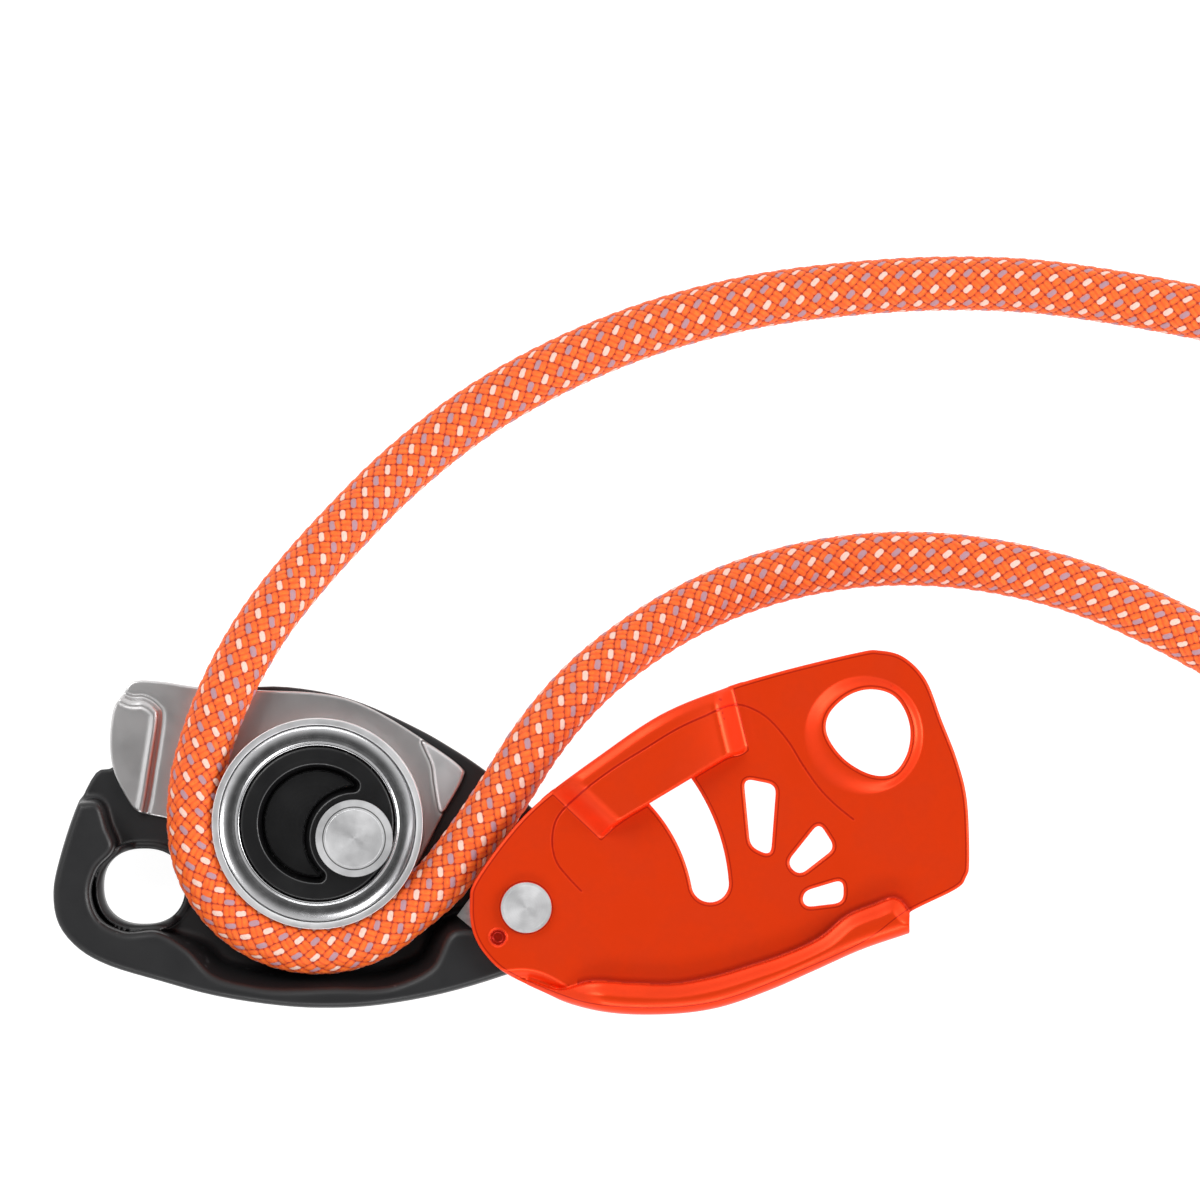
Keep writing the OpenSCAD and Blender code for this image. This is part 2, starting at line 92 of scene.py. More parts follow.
WEAR_EDGE = [
    (-4, 35.5), (-2, 38), (3, 38), (10, 37), (21, 36.4), (30.5, 36), (37.5, 34.8), (44, 32),
    (51.5, 27.4), (58.6, 22.3), (59.1, 20), (55.5, 13.5), (50, 3), (44, -3), (34, -5.5),
    (24, -3.5), (14, 4), (8, 10.5), (4.5, 12.5), (0.5, 13.4), (-2, 14.6), (-4.6, 19), (-6, 23),
    (-6.3, 28), (-5.6, 33),
]
WEAR_STEP_EDGE = [
    (-12, 42), (-3.8, 35.3), (0, 34.6), (2.2, 33.2), (2.9, 31), (1.6, 22), (0.2, 14), (-2, 8), (-12, 8),
]
WEAR_PAD_EDGE = [
    (51.9, 26.8), (52.1, 25.6), (53.4, 22.6), (53.9, 19), (54.8, 14.3), (55.7, 13.9), (56.6, 14.4),
    (59, 20), (58.8, 21.9), (55.8, 24.4),
]
SIDE_EDGE = [
    (60.5, -2.5), (61.5, 1.5), (68, 10.5), (74.5, 17), (84.5, 24.5), (95.5, 31.9), (106.5, 36.5),
    (118, 40), (132, 43.4), (136, 43.8), (140.5, 42.6), (144.6, 38.4), (147.5, 31), (150.4, 23.5),
    (152.2, 16), (152.6, 5), (152, 2), (150, -0.3), (141, -4.8), (132.5, -10.8), (116, -18),
    (105.5, -21.5), (95, -22.6), (84, -22), (77, -20.2), (68, -16.3), (63.5, -12.5), (61, -8),
]
SIDE_HOLE_EDGE = [
    (134, 36.6), (130, 35.3), (126.7, 32), (126.4, 28.2), (129.5, 23.8), (134.3, 21), (138.4, 21.1),
    (141, 24.5), (141.7, 29), (140.5, 33.1), (138, 35.8),
]
WINDOWS = [
    [(111, 20.2), (117, 19), (116, 5.9), (112.2, 7.6)],
    [(124.9, 12.1), (127.9, 7.4), (121.2, 2.2), (118.9, 4.6)],
    [(129.4, 1.6), (129.4, -2.7), (122, -3.6), (121.8, -0.7)],
]
FOOT_LEFT = ((77.1, 16.1), (84.5, 9.1))
FOOT_RIGHT = ((109, 36.8), (111.9, 25))
BRIDGE_FREE_EDGE = [
    (84.5, 9.1), (86.5, 11), (88.6, 12.6), (93.2, 15.4), (101.2, 20.2), (105.5, 22.8),
    (108.2, 24.3), (110.5, 24.9), (112.1, 26),
]
BRIDGE_MIDDLE = (96, 25)
LIP_OUTER = [
    (141.5, -8.3), (132.5, -11.4), (124, -15.2), (116, -18.7), (105.5, -22.2), (95, -23.3),
    (84, -22.6), (77, -20.7), (71, -17.9),
]
LIP_FREE_EDGE = [
    (71, -16.9), (77.1, -18.8), (82.5, -17.4), (90, -17.7), (98.4, -17.8), (105.5, -16.5),
    (112.5, -14.4), (118, -12.6), (125.6, -9), (130.2, -5.2), (135, -3.2), (139, -2), (141.5, -4.6),
]
SCOOP_CREASE = [(67.3, -14.4), (70.3, -14.2), (73.8, -14.8), (77, -16.3), (79.4, -17.8)]
ENGRAVED_LINE = [
    (81.1, -0.6), (78.8, 1.8), (76.4, 5), (75.7, 8), (76.3, 12.3), (80.5, 17.1), (86.2, 21.6),
    (93.3, 26.1), (98.9, 29.5), (103.2, 31.5), (110.3, 33.8), (113.9, 32.4), (118.8, 27.6),
    (122.1, 22.4), (125.2, 18.1), (128.3, 15), (131.3, 12.6),
]
CLIMBER_ROUTE = [
    (9.8, 19, 10.8), (11.8, 27, 10.8), (16.2, 38, 10.65), (22.5, 49, 8.2), (29, 57.5, 4.2),
    (37, 66.5, -0.3), (47.5, 77, -3.9), (61.5, 88, -4.9), (75.5, 96, -4.9), (93.5, 103.5, -4.9),
    (112.5, 108.5, -4.9), (131, 111, -4.9), (148, 112, -4.9), (165, 111.5, -4.9),
    (180, 109.5, -4.9), (195, 106.8, -4.9), (206, 104.5, -4.9),
]
BRAKE_ROUTE = [
    (59, 6.2, 10.8), (66.3, 16.8, 10.8), (72.8, 27, 10), (77.5, 33, 8.3), (83, 38.7, 5.7),
    (90, 44.3, 2.2), (98, 49.5, -1.2), (109, 54.8, -4), (121.5, 58.6, -4.9), (135, 60.6, -4.9),
    (149, 60.5, -4.9), (162, 58.6, -4.9), (175, 55, -4.9), (188, 49.4, -4.9), (199, 43.6, -4.9),
    (206, 39.8, -4.9),
]
ROPE_SEAM = (55.1, 1.3, 10.8)
WRAP_RADIUS = 22.9
WRAP_DEGREES = np.linspace(180, 314, 11)

# ---- Curves ----

FINER = 8                                # how much finer a curve is worked out than it is kept


def closed_curve(points, steps=8):
    """Catmull-Rom curve through a closed list of points."""
    p = np.array(points, float)
    a, b, c, d = np.roll(p, 1, 0), p, np.roll(p, -1, 0), np.roll(p, -2, 0)
    t = (np.arange(steps) / steps)[None, :, None]
    a, b, c, d = (q[:, None, :] for q in (a, b, c, d))
    curve = 0.5 * (2 * b + (c - a) * t + (2 * a - 5 * b + 4 * c - d) * t ** 2
                   + (3 * b - a - 3 * c + d) * t ** 3)
    return curve.reshape(-1, p.shape[1])


def open_curve(points, step):
    """Cubic curve through the points, with a new point every `step`."""
    p = np.array(points, float)
    at = np.concatenate([[0], np.cumsum(np.linalg.norm(np.diff(p, axis=0), axis=1))])
    slope = np.diff(p, axis=0) / np.diff(at)[:, None]
    gap = np.diff(at)[:, None]
    tangent = np.empty_like(p)
    tangent[0], tangent[-1] = slope[0], slope[-1]
    tangent[1:-1] = (slope[:-1] * gap[1:] + slope[1:] * gap[:-1]) / (gap[1:] + gap[:-1])
    fine = np.linspace(0, at[-1], int(at[-1] / step * FINER) + 1)
    k = np.clip(np.searchsorted(at, fine, side="right") - 1, 0, len(p) - 2)
    t = ((fine - at[k]) / gap[k, 0])[:, None]
    curve = ((2 * t ** 3 - 3 * t ** 2 + 1) * p[k] + (t ** 3 - 2 * t ** 2 + t) * gap[k] * tangent[k]
             + (3 * t ** 2 - 2 * t ** 3) * p[k + 1] + (t ** 3 - t ** 2) * gap[k] * tangent[k + 1])
    run = np.concatenate([[0], np.cumsum(np.linalg.norm(np.diff(curve, axis=0), axis=1))])
    even = np.linspace(0, run[-1], round(run[-1] / step) + 1)
    return np.stack([np.interp(even, run, curve[:, i]) for i in range(p.shape[1])], 1)


def arc_points(centre, radius, degrees):
    a = np.radians(degrees)
    return np.stack([centre[0] + radius * np.cos(a), centre[1] + radius * np.sin(a)], 1)


def rounded_corner(before, corner, after, back, steps):
    """Points of a curve that leaves one side of a corner and meets the other, `back` away from it."""
    start = corner + back * (before - corner) / np.linalg.norm(before - corner)
    end = corner + back * (after - corner) / np.linalg.norm(after - corner)
    return [(1 - t) ** 2 * start + 2 * t * (1 - t) * corner + t * t * end for t in np.linspace(0, 1, steps)]


def cut_corners(points, back, steps=6):
    """A polygon whose corners are cut back and rounded."""
    rounded = []
    for before, corner, after in zip(np.roll(points, 1, 0), np.array(points), np.roll(points, -1, 0)):
        rounded += rounded_corner(before, corner, after, back, steps)
    return rounded


def smoothstep(low, high, x):
    t = np.clip((x - low) / (high - low), 0, 1)
    return t * t * (3 - 2 * t)


def ridge(x, middle, width):
    """One where x is at the middle, and falling away smoothly on both sides."""
    return np.exp(-((x - middle) / width) ** 2)


# ---- Meshes ----


def make_mesh(name, verts_mm, quads, attributes=None):
    """A smooth-shaded object from arrays of points in millimetres and quads."""
    mesh = bpy.data.meshes.new(name)
    quads = np.asarray(quads, np.int32)
    mesh.vertices.add(len(verts_mm))
    mesh.vertices.foreach_set("co", (np.asarray(verts_mm) * MM).astype(np.float32).ravel())
    mesh.loops.add(quads.size)
    mesh.loops.foreach_set("vertex_index", quads.ravel())
    mesh.polygons.add(len(quads))
    mesh.polygons.foreach_set("loop_start", np.arange(0, quads.size, 4, dtype=np.int32))
    mesh.update(calc_edges=True)
    mesh.validate()
    for key, values in (attributes or {}).items():
        mesh.attributes.new(key, "FLOAT", "POINT").data.foreach_set("value", values.astype(np.float32))
    mesh.polygons.foreach_set("use_smooth", np.ones(len(mesh.polygons), bool))
    obj = bpy.data.objects.new(name, mesh)
    bpy.context.scene.collection.objects.link(obj)
    return obj


def ring_quads(rings, sides):
    """Quads between the rings of a tube, each with the same number of points."""
    r, s = np.meshgrid(np.arange(rings - 1), np.arange(sides), indexing="ij")
    here = r * sides + s
    beside = r * sides + (s + 1) % sides
    return np.stack([here, beside, beside + sides, here + sides], -1).reshape(-1, 4)


def lathe(name, centre, profile, sides=192):
    """A turned piece. The profile is a closed loop of (radius, height), and rounds its own corners."""
    p = np.array(profile, float)
    angle = np.linspace(0, 2 * math.pi, sides, endpoint=False)
    verts = np.empty((len(p), sides, 3))
    verts[:, :, 0] = centre[0] + p[:, :1] * np.cos(angle)
    verts[:, :, 1] = centre[1] + p[:, :1] * np.sin(angle)
    verts[:, :, 2] = p[:, 1:]
    quads = ring_quads(len(p), sides)
    return make_mesh(name, verts.reshape(-1, 3), quads)


# ---- Solids from distance fields ----
# A field is negative inside the solid, and its value is the distance to the surface.

FAR = 1e9
TOO_SHORT = 1e-12                        # square of a side that is left out of a line


class Grid:
    """The points of a box, `cell` apart. x and y are held over the plan, and z up the box."""

    def __init__(self, low, high, cell):
        self.low, self.cell = np.array(low, float), cell
        count = [int(math.ceil((h - l) / cell)) + 1 for l, h in zip(low, high)]
        x, y, z = (l + cell * np.arange(n) for l, n in zip(low, count))
        self.x, self.y = np.meshgrid(x, y, indexing="ij")
        self.z = z[None, None, :]

    def line(self, points, closed=False):
        """Distance in plan from a line of points."""
        p = np.array(points, float)[:, :2]
        ends = zip(p, np.roll(p, -1, 0)) if closed else zip(p[:-1], p[1:])
        best = np.full(self.x.shape, FAR)
        for a, b in ends:
            d = b - a
            if d @ d < TOO_SHORT:
                continue
            dx, dy = self.x - a[0], self.y - a[1]
            t = np.clip((dx * d[0] + dy * d[1]) / (d @ d), 0, 1)
            best = np.minimum(best, (dx - t * d[0]) ** 2 + (dy - t * d[1]) ** 2)
        return np.sqrt(best)

    def outline(self, points):
        """Distance in plan from a closed outline, negative inside it."""
        p = np.array(points, float)[:, :2]
        inside = np.zeros(self.x.shape, bool)
        for a, b in zip(p, np.roll(p, -1, 0)):
            if a[1] == b[1]:
                continue
            crosses = (a[1] > self.y) != (b[1] > self.y)
            inside ^= crosses & (self.x < (b[0] - a[0]) * (self.y - a[1]) / (b[1] - a[1]) + a[0])
        d = self.line(p, closed=True)
        return np.where(inside, -d, d)

    def circle(self, centre, radius):
        return np.hypot(self.x - centre[0], self.y - centre[1]) - radius

    def beyond(self, line, toward):
        """Distance past the straight line through two points, positive on the side where `toward` is."""
        (ax, ay), (bx, by) = line
        nx, ny = by - ay, ax - bx
        length = math.hypot(nx, ny)
        sign = 1 if (toward[0] - ax) * nx + (toward[1] - ay) * ny > 0 else -1
        return sign * ((self.x - ax) * nx + (self.y - ay) * ny) / length


def cut(a, b, r):
    """Where two solids overlap, with the edge between them rounded."""
    return np.minimum(-r, np.maximum(a, b)) + np.hypot(np.maximum(a + r, 0), np.maximum(b + r, 0))


def join(a, b, r):
    """Two solids together, with a fillet between them."""
    return np.maximum(r, np.minimum(a, b)) - np.hypot(np.maximum(r - a, 0), np.maximum(r - b, 0))


def sheet_field(grid, middle, thickness):
    """A sheet of even thickness about a height given over the plan."""
    gx, gy = np.gradient(middle, grid.cell)
    lean = 1 / np.sqrt(1 + gx ** 2 + gy ** 2)
    return np.abs(grid.z - middle[:, :, None]) * lean[:, :, None] - thickness / 2


CORNERS = np.array([(i, j, k) for i in (0, 1) for j in (0, 1) for k in (0, 1)])
CELL_EDGES = [(a, b) for a in range(8) for b in range(a + 1, 8)
              if np.abs(CORNERS[a] - CORNERS[b]).sum() == 1]


def net_points(field, cells):
    """One point in each cell, in the middle of the places where the surface crosses the cell's edges."""
    value = np.stack([field[tuple((cells + corner).T)] for corner in CORNERS], 1)
    place = np.zeros((len(cells), 3))
    found = np.zeros(len(cells))
    for a, b in CELL_EDGES:
        crossed = (value[:, a] < 0) != (value[:, b] < 0)
        t = np.where(crossed, value[:, a] / np.where(crossed, value[:, a] - value[:, b], 1), 0)
        place += crossed[:, None] * (CORNERS[a] + t[:, None] * (CORNERS[b] - CORNERS[a]))
        found += crossed
    return cells + place / found[:, None]


def net_quads(inside, number):
    """A quad round each grid edge that crosses the surface, between the points of its four cells."""
    quads = []
    for axis in range(3):
        u, v = (axis + 1) % 3, (axis + 2) % 3
        low = [slice(1, n - 1) for n in inside.shape]
        high = list(low)
        low[axis] = slice(0, inside.shape[axis] - 1)
        high[axis] = slice(1, inside.shape[axis])
        a, b = inside[tuple(low)], inside[tuple(high)]
        for flip, change in ((False, a & ~b), (True, ~a & b)):
            edge = np.argwhere(change)
            edge[:, u] += 1
            edge[:, v] += 1
            around = []
            for du, dv in ((-1, -1), (0, -1), (0, 0), (-1, 0)):
                cell = edge.copy()
                cell[:, u] += du
                cell[:, v] += dv
                around.append(number[tuple(cell.T)])
            quads.append(np.stack(around[::-1] if flip else around, 1))
    return np.concatenate(quads)


def sampled(values, at):
    """Values over the plan, read between the grid's points. `at` counts in cells."""
    i = np.clip(at.astype(int), 0, np.array(values.shape) - 2)
    f = at - i
    return (values[i[:, 0], i[:, 1]] * (1 - f[:, 0]) * (1 - f[:, 1])
            + values[i[:, 0] + 1, i[:, 1]] * f[:, 0] * (1 - f[:, 1])
            + values[i[:, 0], i[:, 1] + 1] * (1 - f[:, 0]) * f[:, 1]
            + values[i[:, 0] + 1, i[:, 1] + 1] * f[:, 0] * f[:, 1])


def solid(name, grid, field, plan=None):
    """The surface of a field as a mesh (surface nets). The values in `plan` are kept as attributes."""
    inside = field < 0
    count = sum(inside[tuple(slice(c, n - 1 + c) for c, n in zip(corner, field.shape))].astype(np.uint8)
                for corner in CORNERS)
    mixed = (count > 0) & (count < len(CORNERS))
    cells = np.argwhere(mixed)
    number = np.full(mixed.shape, -1, np.int64)
    number[mixed] = np.arange(len(cells))
    verts = grid.low + grid.cell * net_points(field, cells)
    at = (verts[:, :2] - grid.low[:2]) / grid.cell
    attributes = {key: sampled(values, at) for key, values in (plan or {}).items()}
    return make_mesh(name, verts, net_quads(inside, number), attributes)


# ---- Shader nodes ----

ROUGHNESS_STRAY = 0.05                   # how far roughness strays either way
MIX_A, MIX_B, MIX_RESULT = 6, 7, 2       # a Mix node's sockets for colours


class Shader:
    """A material whose nodes are made by short calls. Sockets are passed about as plain values."""

    def __init__(self, name, **values):
        self.material = bpy.data.materials.new(name)
        self.material.use_nodes = True
        self.tree = self.material.node_tree
        self.bsdf = self.tree.nodes["Principled BSDF"]
        for key, value in values.items():
            self.bsdf.inputs[key.replace("_", " ")].default_value = value

    def node(self, kind, inputs=(), **settings):
        made = self.tree.nodes.new(kind)
        for key, value in settings.items():
            setattr(made, key, value)
        for key, value in dict(inputs).items():
            self.put(made.inputs[key], value)
        return made

    def put(self, socket, value):
        if isinstance(value, bpy.types.NodeSocket):
            self.tree.links.new(value, socket)
        elif isinstance(value, (tuple, list)) and len(value) == 3 and socket.type == "RGBA":
            socket.default_value = (*value, 1)
        else:
            socket.default_value = value

    def set(self, key, value):
        self.put(self.bsdf.inputs[key], value)

    def math(self, operation, a, b=0.0):
        return self.node("ShaderNodeMath", {0: a, 1: b, 2: 0.0}, operation=operation).outputs[0]

    def plus(self, a, b):
        return self.math("ADD", a, b)

    def minus(self, a, b):
        return self.math("SUBTRACT", a, b)

    def times(self, a, b):
        return self.math("MULTIPLY", a, b)

    def step(self, value, low, high, out_low=0.0, out_high=1.0):
        return self.node("ShaderNodeMapRange", {"Value": value, "From Min": low, "From Max": high,
                                                "To Min": out_low, "To Max": out_high},
                         interpolation_type="SMOOTHSTEP").outputs[0]

    def mix(self, factor, a, b):
        made = self.node("ShaderNodeMix", {0: factor}, data_type="RGBA")
        self.put(made.inputs[MIX_A], a)
        self.put(made.inputs[MIX_B], b)
        return made.outputs[MIX_RESULT]

    def attribute(self, name):
        return self.node("ShaderNodeAttribute", attribute_name=name).outputs["Fac"]

    def combined(self, *values):
        """A vector from up to three values."""
        return self.node("ShaderNodeCombineXYZ", dict(enumerate(values))).outputs[0]

    def place(self):
        """Object coordinates in millimetres."""
        here = self.node("ShaderNodeTexCoord").outputs["Object"]
        return self.node("ShaderNodeMapping", {"Vector": here, "Scale": (1 / MM,) * 3}).outputs[0]

    def noise(self, vector, scale, detail=4.0):
        return self.node("ShaderNodeTexNoise", {"Vector": vector, "Scale": scale, "Detail": detail,
                                                "Roughness": 0.55}).outputs["Fac"]

    def radius(self, centre):
        """Distance in plan from a point, in millimetres."""
        here = self.node("ShaderNodeSeparateXYZ", {0: self.place()}).outputs
        dx = self.minus(here[0], centre[0])
        dy = self.minus(here[1], centre[1])
        return self.math("SQRT", self.plus(self.times(dx, dx), self.times(dy, dy)))

    def edges(self, low=0.52, high=0.6):
        """One on outer edges, where finish rubs through first and where the orange's painted edge shade lies.
        """
        pointed = self.node("ShaderNodeNewGeometry").outputs["Pointiness"]
        return self.step(pointed, low, high)

    def bump(self, height, depth_mm, normal=None):
        inputs = {"Height": height, "Strength": 1.0, "Distance": depth_mm * MM}
        if normal is not None:
            inputs["Normal"] = normal
        return self.node("ShaderNodeBump", inputs).outputs[0]

    def stray(self, roughness, a, share, b):
        """Roughness that strays as `a` and `b` do. share is the part that follows `a`."""
        both = self.plus(self.times(a, share), self.times(b, 1 - share))
        return self.step(both, 0.3, 0.7, roughness - ROUGHNESS_STRAY, roughness + ROUGHNESS_STRAY)


def slightly_darker(colour):
    return tuple(0.9 * c for c in colour)


def grained(name, colour, edge_wear_and_shade, roughness, metallic, grain_mm=0.12, depth_mm=0.004, **values):
    """Cast, blasted or moulded surface: fine grain, blotches of roughness, and edges in the second colour,
    which is rubbed finish except on the orange, where it is painted edge shade.
    """
    s = Shader(name, Metallic=metallic, **values)
    here = s.place()
    grain = s.noise(here, 1 / grain_mm)
    blotch = s.noise(here, 0.12, 3.0)
    tint = s.mix(s.step(blotch, 0.35, 0.65), colour, slightly_darker(colour))
    # Edges take the second colour: rubbed-through finish on most pieces, painted edge shade on the orange
    edge_wear_and_shade_mask = s.times(s.edges(), s.step(s.noise(here, 0.6), 0.4, 0.6))
    s.colour = s.mix(edge_wear_and_shade_mask, tint, edge_wear_and_shade)
    s.normal = s.bump(grain, depth_mm)
    s.set("Base Color", s.colour)
    s.set("Roughness", s.stray(roughness, blotch, 0.7, grain))
    s.set("Normal", s.normal)
    return s


def turned(name, centre, colour, roughness, pitch_mm=0.11, depth_mm=0.0004, groove=None):
    """Turned metal: fine rings about a centre, light spread across them, and painted shade in a groove if
    asked for.
    """
    s = Shader(name, Metallic=1.0, Anisotropic=0.5)
    r = s.radius(centre)
    rings = s.noise(s.combined(s.math("DIVIDE", r, pitch_mm)), 1.0, 2.0)
    blotch = s.noise(s.place(), 0.5, 2.0)
    tint = s.mix(s.step(rings, 0.3, 0.7), colour, slightly_darker(colour))
    # Painted shade: a dark ring where the groove lies
    if groove:
        past_inner_edge = s.step(r, groove - 0.14, groove - 0.04)
        before_outer_edge = s.step(r, groove + 0.16, groove + 0.06)
        tint = s.mix(s.times(past_inner_edge, before_outer_edge), tint, (0.10, 0.10, 0.10))
    s.set("Base Color", tint)
    s.set("Roughness", s.stray(roughness, rings, 0.6, blotch))
    s.set("Normal", s.bump(rings, depth_mm))
    here = s.node("ShaderNodeSeparateXYZ", {0: s.place()}).outputs
    around = s.combined(s.minus(centre[1], here[1]), s.minus(here[0], centre[0]), 0.0)
    s.set("Tangent", s.node("ShaderNodeVectorMath", {0: around}, operation="NORMALIZE").outputs[0])
    return s


# ---- Camera ----
# It looks straight down from HEIGHT above the part's middle, where the picture is SEEN wide. Metres.

VIEW_XY = (0.0845, 0.0531)
VIEW_Z = 0.01
HEIGHT = 2.5
SEEN = 0.222
SENSOR = 36                              # millimetres

camera = bpy.data.objects.new("camera", bpy.data.cameras.new("camera"))
bpy.context.scene.collection.objects.link(camera)
bpy.context.scene.camera = camera
camera.location = (*VIEW_XY, HEIGHT + VIEW_Z)
camera.data.sensor_width = SENSOR
camera.data.lens = SENSOR * HEIGHT / SEEN
camera.data.clip_end = 20

# ---- Rope ----

ROPE_STEP = 0.25                         # between the rings of the sheath's mesh
ROPE_SIDES = 128
BRAID_STRANDS = 10                       # bundles each way round the sheath
BRAID_PITCH = 3.14                       # along the rope, from one fleck to the next
BRAID_RELIEF = 0.42                      # depth of the valleys between the bundles
BUNDLE_MM = 2.26                         # width of a bundle of two yarns
YARN_RADIUS = 0.62
YARN_STRAIGHT = 0.50                     # half of a yarn's straight run between its rounded ends


def rope_line():
    """The middle of the whole rope, and the number of its point at the seam."""
    wrap = [(*p, ROPE_Z) for p in arc_points(WHEEL_XY, WRAP_RADIUS, WRAP_DEGREES)]
    line = open_curve([*CLIMBER_ROUTE[::-1], *wrap, ROPE_SEAM, *BRAKE_ROUTE], ROPE_STEP)
    seam = int(np.argmin(np.linalg.norm(line - np.array(ROPE_SEAM), axis=1)))
    return line, seam


def braid_height(i, j):
    """Height of the sheath above its valleys, in millimetres. i and j count the two families of bundles."""
    p, q = i - np.floor(i), j - np.floor(j)
    first_on_top = (np.floor(i) + np.floor(j)) % 2 == 0
    across, lengthwise = np.where(first_on_top, p, q), np.where(first_on_top, q, p)
    off_middle = np.abs((2 * across) % 1 - 0.5) * BUNDLE_MM / 2
    off_end = np.maximum(np.abs(lengthwise - 0.5) * BUNDLE_MM - YARN_STRAIGHT, 0)
    yarn = np.sqrt(np.clip(1 - (off_middle ** 2 + off_end ** 2) / YARN_RADIUS ** 2, 0, 1))
    arch = np.sin(math.pi * across) * np.sin(math.pi * lengthwise)
    return 0.52 * BRAID_RELIEF * np.sqrt(arch) + 0.48 * BRAID_RELIEF * yarn


def tube_points(line, angle, radius):
    """Points round a line, ring by ring."""
    tangent = np.gradient(line, axis=0)
    tangent /= np.linalg.norm(tangent, axis=1)[:, None]
    left = np.cross([0, 0, 1.0], tangent)
    left /= np.linalg.norm(left, axis=1)[:, None]
    up = np.cross(tangent, left)
    normal = np.cos(angle)[None, :, None] * up[:, None, :] + np.sin(angle)[None, :, None] * left[:, None, :]
    return line[:, None, :] + radius[:, :, None] * normal


def strand(name, points, u, v, seal):
    """The mesh of one strand. braid_v is kept per corner, so that it runs on where the tube closes."""
    quads = ring_quads(len(points), ROPE_SIDES)
    obj = make_mesh(name, points.reshape(-1, 3), quads, {"braid_u": u.ravel(), "seal": seal.ravel()})
    corner_v = v.ravel()[quads]
    closing = quads[:, 0] % ROPE_SIDES == ROPE_SIDES - 1
    corner_v[closing, 1:3] += BRAID_STRANDS
    counted = obj.data.attributes.new("braid_v", "FLOAT", "CORNER")
    counted.data.foreach_set("value", corner_v.astype(np.float32).ravel())
    return obj


def rope_pieces():
    """Both strands of the rope, cut from one braided tube so that the sheath runs on through the seam."""
    line, seam = rope_line()
    run = np.linalg.norm(np.diff(line, axis=0), axis=1)
    along = np.concatenate([[0], np.cumsum(run)])
    end = np.minimum(along, along[-1] - along)[:, None]
    angle = np.linspace(-math.pi, math.pi, ROPE_SIDES, endpoint=False)
    v = np.broadcast_to(BRAID_STRANDS * angle / (2 * math.pi), (len(line), ROPE_SIDES))
    u = np.broadcast_to((along / BRAID_PITCH)[:, None], v.shape)
    relief = braid_height(v - u, v + u) * smoothstep(0.5, 3, end)

    # Heat sealing draws each end in, and rounds its last millimetre
    sealed = 1 - 0.10 * (1 - smoothstep(0, 2.5, end)) - 0.9 * (1 - np.sqrt(np.clip(end / 1.1, 0, 1))) ** 2
    points = tube_points(line, angle, (ROPE_D / 2 - BRAID_RELIEF + relief) * sealed)
    seal = np.broadcast_to(1 - smoothstep(1.5, 4, end), v.shape)
    made = []
    for name, rings in (("rope_climber", slice(0, seam + 1)), ("rope_brake", slice(seam, None))):
        made.append((strand(name, points[rings], u[rings], v[rings], seal[rings]), line[rings]))
    return made


def braid_cell(s):
    """Where a point lies in the braid.

    Gives whether the first family's bundle is on top, that bundle's number, the number of the bundle on top,
    and the place across and along it.
    """
    u, v = s.attribute("braid_u"), s.attribute("braid_v")
    i, j = s.minus(v, u), s.plus(v, u)
    i_floor, j_floor = s.math("FLOOR", i), s.math("FLOOR", j)
    p, q = s.minus(i, i_floor), s.minus(j, j_floor)
    second_on_top = s.math("FLOORED_MODULO", s.plus(i_floor, j_floor), 2.0)
    first_on_top = s.minus(1.0, second_on_top)

    def of_top(a, b):
        return s.plus(s.times(first_on_top, a), s.times(second_on_top, b))

    return first_on_top, i_floor, of_top(i_floor, j_floor), of_top(p, q), of_top(q, p)


def yarn_place(s, across, lengthwise):
    """Whether a point lies on the bundle's second yarn, and its distance from the yarn's core."""
    wobble = s.times(s.minus(s.noise(s.place(), 0.8, 2.0), 0.5), 0.16)
    strayed = s.plus(across, wobble)
    second_yarn = s.math("GREATER_THAN", strayed, 0.5)
    yarn_across = s.math("FLOORED_MODULO", s.times(strayed, 2.0), 1.0)
    off_middle = s.times(s.minus(yarn_across, 0.5), BUNDLE_MM / 2)
    from_centre = s.times(s.math("ABSOLUTE", s.minus(lengthwise, 0.5)), BUNDLE_MM)
    off_end = s.math("MAXIMUM", s.minus(from_centre, YARN_STRAIGHT), 0.0)
    out = s.math("SQRT", s.plus(s.times(off_middle, off_middle), s.times(off_end, off_end)))
    return second_yarn, out


